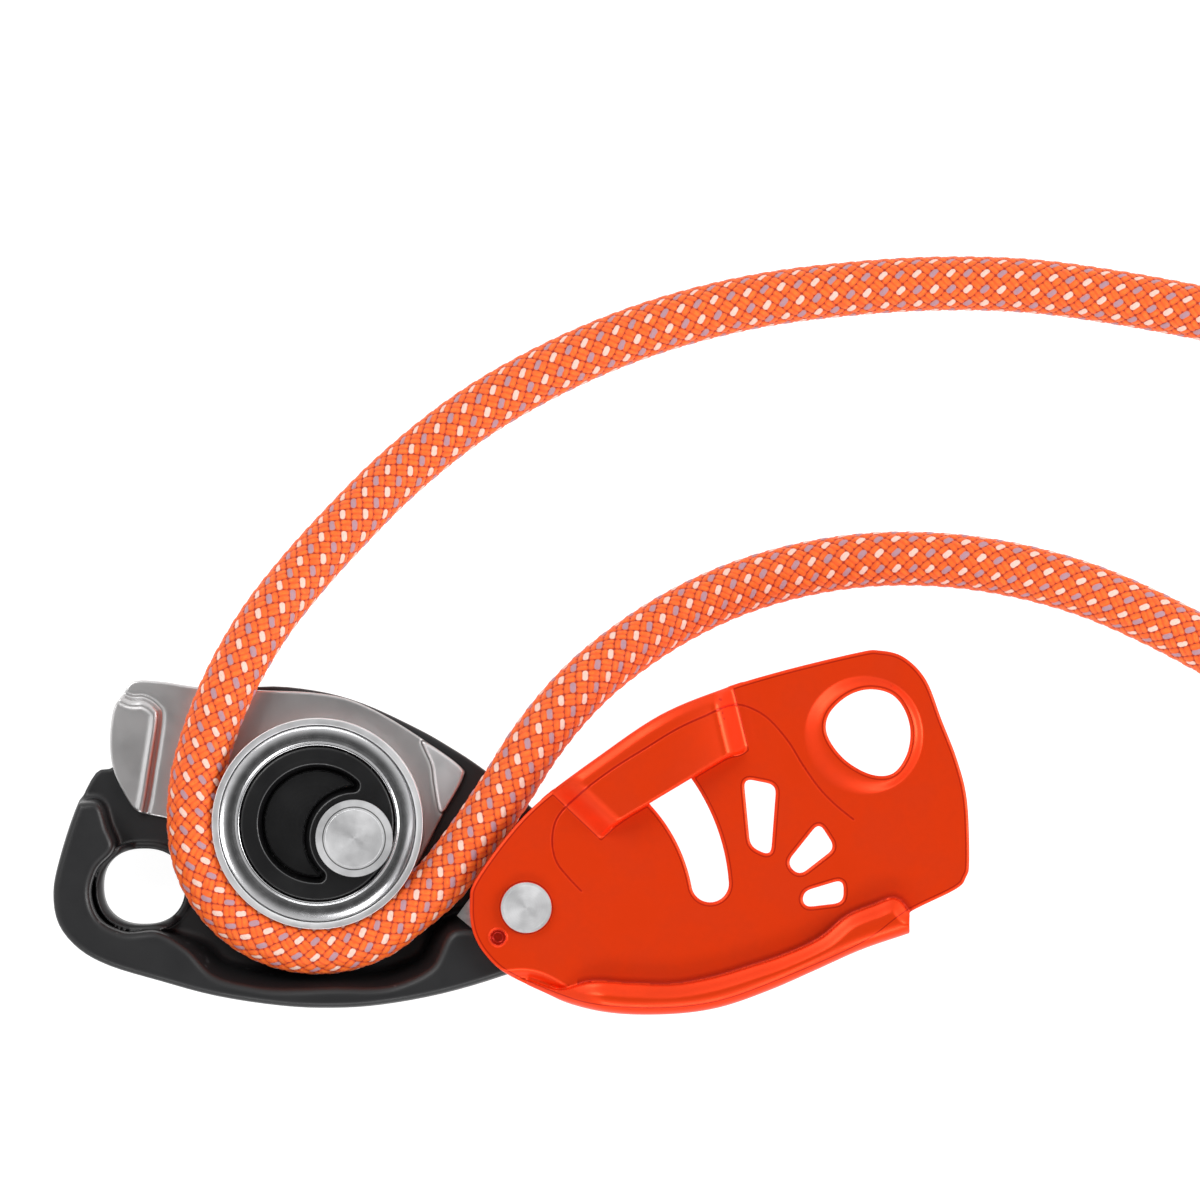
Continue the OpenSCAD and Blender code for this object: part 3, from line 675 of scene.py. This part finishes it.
def rope_material():
    s = Shader("rope_sheath", Roughness=0.6, Sheen_Weight=0.12, Sheen_Roughness=0.4)
    first_on_top, i_floor, bundle, across, lengthwise = braid_cell(s)
    second_yarn, out = yarn_place(s, across, lengthwise)
    fibre = s.noise(s.combined(s.times(across, 24.0), s.times(lengthwise, 3.0), bundle), 1.0, 2.0)

    uneven = s.noise(s.place(), 0.9, 3.0)
    ground = s.mix(s.step(uneven, 0.35, 0.65), (0.90, 0.12, 0.004), (0.97, 0.195, 0.012))
    ground = s.mix(s.step(fibre, 0.35, 0.75), ground, (0.90, 0.13, 0.006))
    # Painted shade on each yarn's flanks, leaving a painted highlight along its core
    ground = s.mix(s.step(out, 0.20, 0.55), ground, (0.88, 0.10, 0.004))

    # One yarn of each first-family bundle is a fleck, pale or mauve by turns
    fleck = s.times(first_on_top, s.minus(1.0, second_yarn))
    pale = s.math("FLOORED_MODULO", i_floor, 2.0)
    fleck_colour = s.mix(pale, (0.44, 0.25, 0.31), (0.90, 0.62, 0.52))
    fleck_colour = s.mix(s.times(s.step(fibre, 0.45, 0.75), 0.5), fleck_colour, (0.70, 0.28, 0.20))
    fleck_colour = s.mix(s.step(out, 0.44, 0.58), fleck_colour, (0.80, 0.20, 0.08))

    # Painted shade between the yarns, painted shade deepening the orange low on the sides, and brown on the
    # sealed ends
    colour = s.mix(fleck, ground, fleck_colour)
    colour = s.mix(s.step(out, 0.52, 0.70), colour, (0.40, 0.016, 0.001))
    # Painted shade: deeper orange where the sheath turns downward, low on its sides
    normal = s.node("ShaderNodeNewGeometry").outputs["Normal"]
    upward = s.node("ShaderNodeSeparateXYZ", {0: normal}).outputs[2]
    colour = s.mix(s.step(upward, 0.55, 0.0, 0.0, 0.45), colour, (0.90, 0.05, 0.002))
    colour = s.mix(s.attribute("seal"), colour, (0.30, 0.030, 0.004))
    s.set("Base Color", colour)

    fall = s.times(s.times(out, out), 1 / YARN_RADIUS ** 2)
    dome = s.math("SQRT", s.math("MAXIMUM", s.minus(1.0, fall), 0.0))
    s.set("Normal", s.bump(fibre, 0.05, s.bump(dome, 0.12)))
    return s.material


rope = rope_material()
for obj, line in rope_pieces():
    obj.data.materials.append(rope)
    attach(obj, "frame")
    path = line * MM
    if obj.name == "rope_climber":
        path = path[::-1]
        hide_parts("rope_climber_strand")
    else:
        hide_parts("rope_brake_strand")

# ---- Fixed plate and wear plate ----


def with_holes(g, body, holes):
    """The body with upright round holes cut through it. Each hole is a centre and a radius."""
    for centre, radius in holes:
        body = np.maximum(body, -g.circle(centre, radius)[:, :, None])
    return body


def eye_field(g):
    """Distance in plan from the attachment eye, which is an oval with slightly square shoulders."""
    power = 2.3
    reach = (np.abs(g.x) / EYE_HALF[0]) ** power + (np.abs(g.y) / EYE_HALF[1]) ** power
    return (reach ** (1 / power) - 1) * EYE_MEAN


def fixed_plate():
    g = Grid((-18, -24, -3.4), (81.5, 38.5, 16.2), 0.3)
    outline = g.outline(closed_curve(PLATE_EDGE, 4))[:, :, None]
    wall_line = open_curve(CHANNEL_EDGE[1:22], 0.6)
    channel = g.outline([CHANNEL_EDGE[0], *wall_line, *CHANNEL_EDGE[22:]])[:, :, None]
    body = cut(cut(outline, g.z - PLATE_TOP, 0.5), -g.z, 0.8)

    # The wall of the rope channel leans outward, less so beside the eye
    lean = 0.04 + 0.26 * smoothstep(3, 14, g.x)[:, :, None]
    wall = -(channel + lean * (RIM_TOP - g.z))
    rim = cut(cut(outline, wall, 0.4), g.z - RIM_TOP, 1.2)
    rim = np.maximum(rim, PLATE_TOP - 1 - g.z)
    body = join(body, rim, 1.2)

    # A boss under the plate holds the axle's bush
    boss = np.maximum(g.circle(AXLE_XY, 8.2)[:, :, None], np.abs(g.z + 0.9) - 1.3)
    body = join(body, boss, 0.6)

    # The ring round the eye stands up from the rim, and comes down to the plate inside the channel
    eye = eye_field(g)
    ring_top = EYE_RING_TOP - (EYE_RING_TOP - 5) * smoothstep(0.5, 4, -channel)
    ring = cut((eye - EYE_RING)[:, :, None], g.z - ring_top, 0.3)
    body = np.minimum(body, np.maximum(ring, 1 - g.z))
    body = cut(body, -eye[:, :, None], 0.4)
    return solid("cast_body", g, with_holes(g, body, [(AXLE_XY, 5.2), (PIVOT_XY, 3), *SMALL_HOLES]))


def wear_plate():
    """A pressed plate. The lug's step has a bead and a groove along it, and the pad has a groove round it."""
    g = Grid((-7.6, -6.8, 3.6), (60.4, 39.3, 7.4), 0.2)
    outline = g.outline(closed_curve(WEAR_EDGE, 6))
    lug = g.outline(closed_curve(WEAR_STEP_EDGE, 6))
    pad = g.outline(closed_curve(WEAR_PAD_EDGE, 6))
    height = WEAR_TOP + 1.0 * smoothstep(0.3, -0.5, lug) + 0.28 * ridge(lug, -1.1, 0.55)
    height -= 0.22 * ridge(lug, 0.55, 0.35)
    height += 0.2 * smoothstep(0.2, -0.4, pad) - 0.12 * ridge(pad, 0.25, 0.3)
    body = cut(cut(outline[:, :, None], g.z - height[:, :, None], 0.3), PLATE_TOP - g.z, 0.1)
    return solid("wear_plate_formed", g, with_holes(g, body, [(AXLE_XY, 5.6), *SMALL_HOLES]), {"pad": pad})


# ---- Side plate ----


def side_height(g, hole, dimple):
    """Height of the sheet's middle over the plan, with the ring round the hole, the dimple and the scoop."""
    ring = -g.circle(HOLE_RING_XY, HOLE_RING_RADIUS)
    climb = np.where(ring > 0, ring / np.maximum(ring + np.maximum(hole, 0), 0.01), 0)
    height = (SIDE_LOW + SIDE_TOP) / 2 + 1.05 * smoothstep(0, 0.95, climb)
    height -= 0.55 * smoothstep(0.05, -0.35, dimple)
    scoop = g.outline([(66, -14.6), *open_curve(SCOOP_CREASE, 0.7), (80.5, -26), (60, -26)])
    height -= 1.5 * smoothstep(0.1, -2.4, scoop)
    return height


def swing_slot(g):
    """The slot round the pivot that the axle's neck runs in. It ends in a round seat and widens after it."""
    reach = math.dist(AXLE_XY, PIVOT_XY)
    inner, outer = [], []
    for t in np.linspace(0, 1, 25):
        a = np.radians(SLOT_FROM + SLOT_SWEEP * t)
        half = SLOT_END_RADIUS + min(1.0, 2 * t)
        for edge, r in ((inner, reach - half), (outer, reach + half)):
            edge.append((PIVOT_XY[0] + r * np.cos(a), PIVOT_XY[1] + r * np.sin(a)))
    start = np.radians(SLOT_FROM)
    seat = (PIVOT_XY[0] + reach * np.cos(start), PIVOT_XY[1] + reach * np.sin(start))
    return np.minimum(g.outline(inner + outer[::-1]), g.circle(seat, SLOT_END_RADIUS))


def bridge_parts(g, height, outline):
    """The raised strap of the bridge, and the plan of the opening under it."""
    past_left = g.beyond(FOOT_LEFT, BRIDGE_MIDDLE)
    past_right = g.beyond(FOOT_RIGHT, BRIDGE_MIDDLE)
    strap = g.outline([(60, -12), *open_curve(BRIDGE_FREE_EDGE, 0.5), (140, 30), (140, 80), (60, 80)])
    slow_fall = 0.62 + 0.38 * (1 - (1 - np.clip(past_right / 16, 0, 1)) ** 2)
    rise = BRIDGE_RISE * smoothstep(-0.5, 6.2, past_left) * smoothstep(-0.4, 4.6, past_right) * slow_fall
    rolled = 0.7 * smoothstep(-2.4, 0, outline) * (rise / BRIDGE_RISE)
    plan = np.maximum(np.maximum(outline, strap), np.maximum(-past_left - 2, -past_right - 2))
    bridge = cut(sheet_field(g, height + rise - rolled, STRAP_THICKNESS), plan[:, :, None], 0.7)
    opening = np.maximum(strap + 0.3, np.maximum(-past_left + 0.6, -past_right + 0.6))
    return bridge, opening


def rolled_lip(g):
    """The rolled lip: an outer wall and a flange above the plate, hollow between them.

    Also gives the distance in plan past the flange's free edge, negative under the flange.
    """
    rim_line, flange_line = open_curve(LIP_OUTER, 1), open_curve(LIP_FREE_EDGE, 1)
    plan = g.outline([*rim_line, *flange_line])
    from_rim, from_flange = g.line(rim_line), g.line(flange_line)
    past_rim = np.where((plan > 0) & (from_rim < from_flange), from_rim, -from_rim)
    past_flange = np.where((plan > 0) & (from_flange <= from_rim), from_flange, -from_flange)
    grow = smoothstep(73.5, 86, g.x)
    low_top = SIDE_TOP + 0.2
    lip_top = low_top + (LIP_TOP - low_top) * grow - 1.1 * grow * smoothstep(2.6, 0, from_flange)
    over = g.z - lip_top[:, :, None]
    lip = cut(cut(past_rim[:, :, None], over, 3.0), past_flange[:, :, None], 0.3)
    lip = cut(lip, SIDE_LOW - g.z, 1.2)
    lip = np.maximum(lip, plan[:, :, None] - 0.3)
    hollow = cut((2.2 - from_rim)[:, :, None], SIDE_TOP - g.z, 0.6)
    hollow = cut(hollow, over + 2.1, 0.6)
    hollow = cut(hollow, np.maximum(83 - g.x, g.x - 138)[:, :, None], 0.6)
    return np.maximum(lip, -hollow), past_flange


def side_plate():
    g = Grid((59.2, -24.6, 15), (154, 45.2, 24.6), 0.25)
    outline = g.outline(closed_curve(SIDE_EDGE, 6))
    hole = g.outline(closed_curve(SIDE_HOLE_EDGE, 8))
    dimple = g.circle(DIMPLE_XY, DIMPLE_RADIUS)
    windows = np.min([g.outline(cut_corners(w, 1.7)) for w in WINDOWS], 0)
    pivot = g.circle(PIVOT_XY, 4.2)
    height = side_height(g, hole, dimple)
    bridge, under_bridge = bridge_parts(g, height, outline)
    plan = np.max([outline, -hole, -windows, -pivot, -swing_slot(g), -under_bridge], 0)
    plate = cut(sheet_field(g, height, SIDE_TOP - SIDE_LOW), plan[:, :, None], 0.4)
    lip, past_flange = rolled_lip(g)
    body = join(join(plate, bridge, 0.3), lip, 0.5)
    body = np.maximum(body, SIDE_LOW - g.z)
    # Distance past the lip's free edge, which places the painted shadow on the plate beside the lip
    lip_shadow_distance = np.where((past_flange > 0) & (g.x > 80), past_flange, 9.0)
    engraved = g.line(open_curve(ENGRAVED_LINE, 1))
    return solid("side_plate_formed", g, body,
                 {"lip_shadow_distance": lip_shadow_distance, "engraved": engraved, "dimple": dimple, "edge": -plan})


# ---- Hub ----


def crescent(outer, inner, tip):
    """The outline of the hub's pocket, with round tips.

    It lies inside the radius `outer` round the wheel's middle and outside the radius `inner` round the axle.
    """
    wheel, axle = np.array(WHEEL_XY), np.array(AXLE_XY)
    apart = math.dist(wheel, axle)
    along = (axle - wheel) / apart
    across = np.array([-along[1], along[0]])
    run = ((outer - tip) ** 2 - (inner + tip) ** 2 + apart ** 2) / (2 * apart)
    rise = math.sqrt((outer - tip) ** 2 - run ** 2)
    high, low = (wheel + run * along + side * rise * across for side in (1, -1))

    def bearing(a, b):
        return math.degrees(math.atan2(b[1] - a[1], b[0] - a[0])) % 360

    low_tip = np.linspace(bearing(wheel, low) - 360, bearing(low, axle), 12)
    high_tip = np.linspace(bearing(high, axle) - 360, bearing(wheel, high), 12)
    return np.concatenate([
        arc_points(wheel, outer, np.linspace(bearing(wheel, high), bearing(wheel, low), 80)),
        arc_points(low, tip, low_tip),
        arc_points(axle, inner, np.linspace(bearing(axle, low), bearing(axle, high), 40)),
        arc_points(high, tip, high_tip),
    ])


def hub():
    g = Grid((17.2, -3.2, 5.2), (47.4, 26.8, 16.2), 0.2)
    core = np.maximum(g.circle(WHEEL_XY, 12.2)[:, :, None], 5.8 - g.z)
    flange = np.maximum(g.circle(WHEEL_XY, 14.15)[:, :, None], 13.2 - g.z)
    body = cut(np.minimum(core, flange), g.z - HUB_TOP, 0.35)

    # The pocket's wall leans in, and its floor stands up in the middle
    pocket = g.outline(crescent(10.96, 8.35, 1.3))
    leaning = pocket[:, :, None] + 0.18 * (HUB_TOP - g.z)
    floor_z = 11.0 + 1.5 * smoothstep(-0.95, -1.2, pocket)[:, :, None]
    body = cut(body, -cut(leaning, floor_z - g.z, 0.15), 0.12)
    return solid("hub_machined", g, with_holes(g, body, [(AXLE_XY, 3.5)]), {"pocket": pocket})


# ---- Turned pieces ----


def rounded_profile(points, r, steps=5):
    """A closed loop of (radius, height) with its corners rounded, ending where it began."""
    loop = cut_corners(np.array(points, float), r, steps)
    return [*loop, loop[0]]


def wheel_rim():
    """The grooved rim, with the bearing's seat, the groove's two flanges and the step for the shield."""
    from_middle = [
        (15.2, -3.2), (15.2, 2.2), (16.6, 2.2), (16.6, 3.3), (18.22, 4.0), (18.22, 4.8), (19.5, 4.9),
        (19.5, 4.2), (17.3, 2.6), (17.3, -2.6), (19.5, -4.2), (19.5, -4.9), (16.6, -4.9), (16.6, -3.2),
    ]
    profile = rounded_profile([(r, ROPE_Z + z) for r, z in from_middle], 0.16)
    return lathe("wheel_rim_turned", WHEEL_XY, profile, 256)


def wheel_shield():
    """The bright dish: a shallow trough between its outer edge and the raised ring round the hub."""
    top = ROPE_Z + 4.85
    outside = [(14.4, 2.65), (16.6, 2.65), (16.6, 1.55), (18.0, 0.85), (18.0, 0.08)]
    ring = [(15.0, 0.5), (14.92, 0.38), (14.78, 0.32), (14.6, 0.34), (14.4, 0.45), (14.4, 2.5)]
    trough = []
    for r in np.linspace(17.85, 15.1, 24):
        steepness = 0.13 if r > 16 else 0.10
        trough.append((r, top - 0.66 + steepness * (r - 16.0) ** 2))
    outer_profile = rounded_profile([(r, top - depth) for r, depth in outside], 0.08)[:-1]
    profile = outer_profile + trough + [(r, top - depth) for r, depth in ring]
    return lathe("wheel_shield_turned", WHEEL_XY, profile, 256)


def button(name, centre, radius, low, high, groove_r=None):
    """A flat-topped head with a rounded rim, and a fine ring groove if asked for."""
    loop = [(0.001, high)]
    if groove_r:
        loop += [(groove_r - 0.35, high), (groove_r - 0.12, high - 0.18), (groove_r + 0.1, high - 0.18),
                 (groove_r + 0.22, high - 0.02)]
    loop += [(radius - 0.5, high - 0.06), (radius - 0.12, high - 0.3), (radius, high - 0.75),
             (radius, low + 0.3), (radius - 0.3, low), (0.001, low)]
    profile = [loop[0]]
    for corner in zip(loop[:-2], loop[1:-1], loop[2:]):
        a, b, c = (np.array(q, float) for q in corner)
        back = min(0.12, np.linalg.norm(a - b) / 3, np.linalg.norm(c - b) / 3)
        profile += rounded_corner(a, b, c, back, 4)
    return lathe(name, centre, [*profile, loop[-1]], 160)


# ---- Materials ----


def hub_finish():
    """Black anodised, with faint turning rings and lighter lines along the pocket's edges."""
    s = grained("hub_black", (0.006, 0.006, 0.0065), (0.05, 0.05, 0.052), 0.34, 0.0, 0.1, 0.002)
    rings = s.noise(s.combined(s.times(s.radius(WHEEL_XY), 1.6)), 1.0, 1.0)
    pocket = s.attribute("pocket")
    from_rim = s.math("ABSOLUTE", s.minus(pocket, 0.10))
    from_floor = s.math("ABSOLUTE", s.plus(pocket, 1.12))
    pocket_edge_lines = s.step(s.math("MINIMUM", from_rim, from_floor), 0.13, 0.03)
    s.set("Base Color", s.mix(pocket_edge_lines, s.colour, (0.07, 0.07, 0.072)))
    s.set("Normal", s.bump(rings, 0.03, s.normal))
    return s


def wear_plate_finish():
    """Satin stainless steel, brighter on the pad, with painted shade in the groove round it and beside the
    wheel.
    """
    s = grained("satin_stainless", (0.70, 0.69, 0.69), (0.86, 0.86, 0.85), 0.38, 1.0, 0.09, 0.002)
    pad = s.attribute("pad")
    # Painted shade in the groove round the pad
    groove = s.times(s.step(pad, -0.05, 0.15), s.step(pad, 0.5, 0.2))
    # Painted shade on the plate beside the wheel
    wheel_shade = s.times(s.step(s.radius(WHEEL_XY), 27, 20), 0.35)
    steel = s.mix(s.step(pad, 0.0, -0.5), s.colour, (0.96, 0.96, 0.97))
    steel = s.mix(groove, steel, (0.16, 0.15, 0.15))
    steel = s.mix(wheel_shade, steel, (0.24, 0.235, 0.23))
    s.set("Base Color", steel)
    return s


def side_plate_finish():
    """Orange anodised, darker in the engraved line, with painted shade in the dimple, a painted shadow on the
    plate beside the lip's free edge, and painted shade along the edges.
    """
    # The second colour is painted edge shade, darker than the orange
    s = grained("orange_anodised", (0.92, 0.050, 0.004), (0.62, 0.022, 0.003), 0.33, 0.45, 0.1, 0.002,
                Specular_IOR_Level=0.3)
    line, edge = s.attribute("engraved"), s.attribute("edge")
    # Painted shade in the dimple
    dimple_shade = s.step(s.attribute("dimple"), 0.05, -0.1)
    # Painted shade in a thin band just inside every edge of the sheet
    edge_shade_band = s.times(s.step(edge, 0.5, 0.62), s.step(edge, 0.85, 0.7))
    # Painted shadow on the plate beside the lip's free edge
    lip_shadow = s.step(s.attribute("lip_shadow_distance"), 1.6, 0.2, 0.0, 0.75)
    colour = s.mix(s.step(line, 0.30, 0.10), s.colour, (0.50, 0.012, 0.002))
    colour = s.mix(dimple_shade, colour, (0.45, 0.012, 0.002))
    colour = s.mix(edge_shade_band, colour, (0.55, 0.02, 0.003))
    colour = s.mix(lip_shadow, colour, (0.42, 0.010, 0.002))
    s.set("Base Color", colour)
    s.set("Normal", s.bump(s.step(line, 0.05, 0.42), 0.06, s.normal))
    return s


black_alloy = grained("black_alloy", (0.011, 0.011, 0.012), (0.045, 0.045, 0.048), 0.42, 0.0, 0.16, 0.004)
plain_steel = grained("plain_steel", (0.60, 0.575, 0.57), (0.80, 0.79, 0.78), 0.38, 1.0, 0.09, 0.002)
wheel_turned = turned("wheel_steel", WHEEL_XY, (0.90, 0.90, 0.91), 0.42)
dish_polished = turned("dish_steel", WHEEL_XY, (0.60, 0.60, 0.61), 0.21, 0.45, 0.00004)
head_turned = turned("head_turned", AXLE_XY, (0.86, 0.86, 0.87), 0.45, groove=5.75)
pivot_turned = turned("pivot_turned", PIVOT_XY, (0.90, 0.90, 0.91), 0.46)
bronze = grained("bronze", (0.45, 0.26, 0.10), (0.70, 0.46, 0.22), 0.36, 1.0)
plastic_pale = grained("slip_plastic", (0.70, 0.67, 0.58), (0.80, 0.78, 0.70), 0.45, 0.0)
spring_steel = grained("spring_steel", (0.42, 0.42, 0.43), (0.60, 0.60, 0.61), 0.30, 1.0)
bearing_steel = grained("bearing_steel", (0.60, 0.61, 0.62), (0.80, 0.80, 0.80), 0.18, 1.0)
anvil_steel = grained("anvil_steel", (0.72, 0.72, 0.71), (0.88, 0.88, 0.87), 0.32, 1.0)
handle_steel = grained("handle_steel", (0.48, 0.49, 0.50), (0.56, 0.56, 0.56), 0.38, 1.0)
black_plastic = grained("black_plastic", (0.030, 0.030, 0.032), (0.042, 0.042, 0.044), 0.55, 0.0, 0.22, 0.012)

# ---- Pieces ----

MADE = [
    (fixed_plate(), black_alloy, "black_alloy", "frame", ["fixed_plate"]),
    (wear_plate(), wear_plate_finish(), "satin_stainless", "frame", ["wear_plate"]),
    (side_plate(), side_plate_finish(), "orange_anodised", "side_plate", ["side_plate"]),
    (hub(), hub_finish(), "hub_black", "cam", ["cam_hub"]),
    (wheel_rim(), wheel_turned, "wheel_steel", "wheel", ["wheel_rim"]),
    (wheel_shield(), dish_polished, "wheel_steel", "wheel", ["wheel_front_shield"]),
]
for obj, finish, slot, body, nodes in MADE:
    obj.data.materials.append(finish.material)
    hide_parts(*nodes)
    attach(obj, body)

HEADS = [
    (button("axle_head_turned", AXLE_XY, 7.1, 18.98, HEAD_TOP + 0.02, 5.65), head_turned, "cam"),
    (button("pivot_head_turned", PIVOT_XY, 4.67, 18.83, 20.12), pivot_turned, "frame"),
]
for obj, finish, body in HEADS:
    obj.data.materials.append(finish.material)
    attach(obj, body)

# ---- CAD pieces that stay ----

CAD_FINISH = {
    "wear_plate_rivets": plain_steel, "anvil": anvil_steel, "anvil_dowel": spring_steel,
    "pivot_pin": pivot_turned, "pivot_friction_washer": bronze, "cam_bush": bronze,
    "cam_thrust_washer": plastic_pale, "cam_stop_pin": spring_steel, "cam_spring": spring_steel,
    "side_plate_bush": bronze, "cam_axle": head_turned, "bearing_inner_race": bearing_steel,
    "bearing_balls": bearing_steel, "bearing_outer_race": bearing_steel,
    "wheel_rear_shield": wheel_turned, "handle_hub": handle_steel, "hub_retaining_ring": spring_steel,
    "hub_cap": black_plastic, "handle_pin": handle_steel, "handle_spring": spring_steel,
    "handle_lever": handle_steel, "handle_grip": black_plastic, "grip_rivet": handle_steel,
}
EDGE_WIDTHS = {"anvil": 0.35, "handle_hub": 0.6, "handle_lever": 0.5, "handle_grip": 1.1, "hub_cap": 0.5}
SHARPEST_KEPT = math.radians(40)         # edges that turn less than this stay as they are

for name, finish in CAD_FINISH.items():
    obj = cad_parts[name]
    obj.data.materials.clear()
    obj.data.materials.append(finish.material)
    if name in EDGE_WIDTHS:
        bevel = obj.modifiers.new("edges", "BEVEL")
        bevel.width = EDGE_WIDTHS[name] * MM
        bevel.segments = 3
        bevel.limit_method = "ANGLE"
        bevel.angle_limit = SHARPEST_KEPT

# ---- Stage ----
# A pale floor that gives most of its own white, so that it shows hardly a shadow, and soft light. Metres.

FLOOR_Z = -0.0101                        # just under the part
FLOOR_HALF = 3.0
LIGHT_AIM = (0.0845, 0.03, 0)
LIGHTS = [
    ("right_box", (1.3, 0.2, 0.9), (0.55, 0.9), 11),
    ("left_box", (-0.32, 0.42, 0.62), (0.35, 0.45), 2.3),
    ("low_box", (0.1, -1.2, 0.9), (1.4, 0.35), 7),
]
SKY_STRENGTH = 0.94
SKY = [(0.0, 0.75), (0.15, 0.8), (0.4, 0.9), (0.65, 1.0), (0.82, 0.6), (0.93, 0.2), (1.0, 0.06)]


def paper_floor():
    corners = [(x * FLOOR_HALF, y * FLOOR_HALF, 0) for x, y in ((-1, -1), (1, -1), (1, 1), (-1, 1))]
    obj = bpy.data.objects.new("floor", bpy.data.meshes.new("floor"))
    obj.data.from_pydata(corners, [], [(0, 1, 2, 3)])
    obj.location = (*VIEW_XY, FLOOR_Z)
    bpy.context.scene.collection.objects.link(obj)
    paper = Shader("paper", Roughness=0.9, Emission_Strength=0.93)
    paper.set("Base Color", (0.30, 0.30, 0.30))
    paper.set("Emission Color", (1.0, 1.0, 1.0))
    obj.data.materials.append(paper.material)
    return obj


def area_light(name, place, size, power):
    light = bpy.data.lights.new(name, "AREA")
    light.shape = "RECTANGLE"
    light.size, light.size_y = size
    light.energy = power
    obj = bpy.data.objects.new(name, light)
    obj.location = place
    obj.rotation_euler = (Vector(LIGHT_AIM) - Vector(place)).to_track_quat("-Z", "Y").to_euler()
    bpy.context.scene.collection.objects.link(obj)


def sky():
    """Grey light from all round, darker toward the sky's top. SKY holds (height, grey)."""
    world = bpy.data.worlds.new("studio")
    bpy.context.scene.world = world
    world.use_nodes = True
    tree = world.node_tree
    facing = tree.nodes.new("ShaderNodeTexCoord")
    split = tree.nodes.new("ShaderNodeSeparateXYZ")
    ramp = tree.nodes.new("ShaderNodeValToRGB")
    tree.links.new(facing.outputs["Generated"], split.inputs[0])
    tree.links.new(split.outputs["Z"], ramp.inputs[0])
    tree.links.new(ramp.outputs[0], tree.nodes["Background"].inputs["Color"])
    tree.nodes["Background"].inputs["Strength"].default_value = SKY_STRENGTH
    elements = ramp.color_ramp.elements
    while len(elements) < len(SKY):
        elements.new(0.5)
    for element, (height, grey) in zip(elements, SKY):
        element.position = height
        element.color = (grey, grey, grey, 1)


paper_floor()
for name, place, size, power in LIGHTS:
    area_light(name, place, size, power)
sky()
bpy.context.scene.view_settings.view_transform = "Standard"
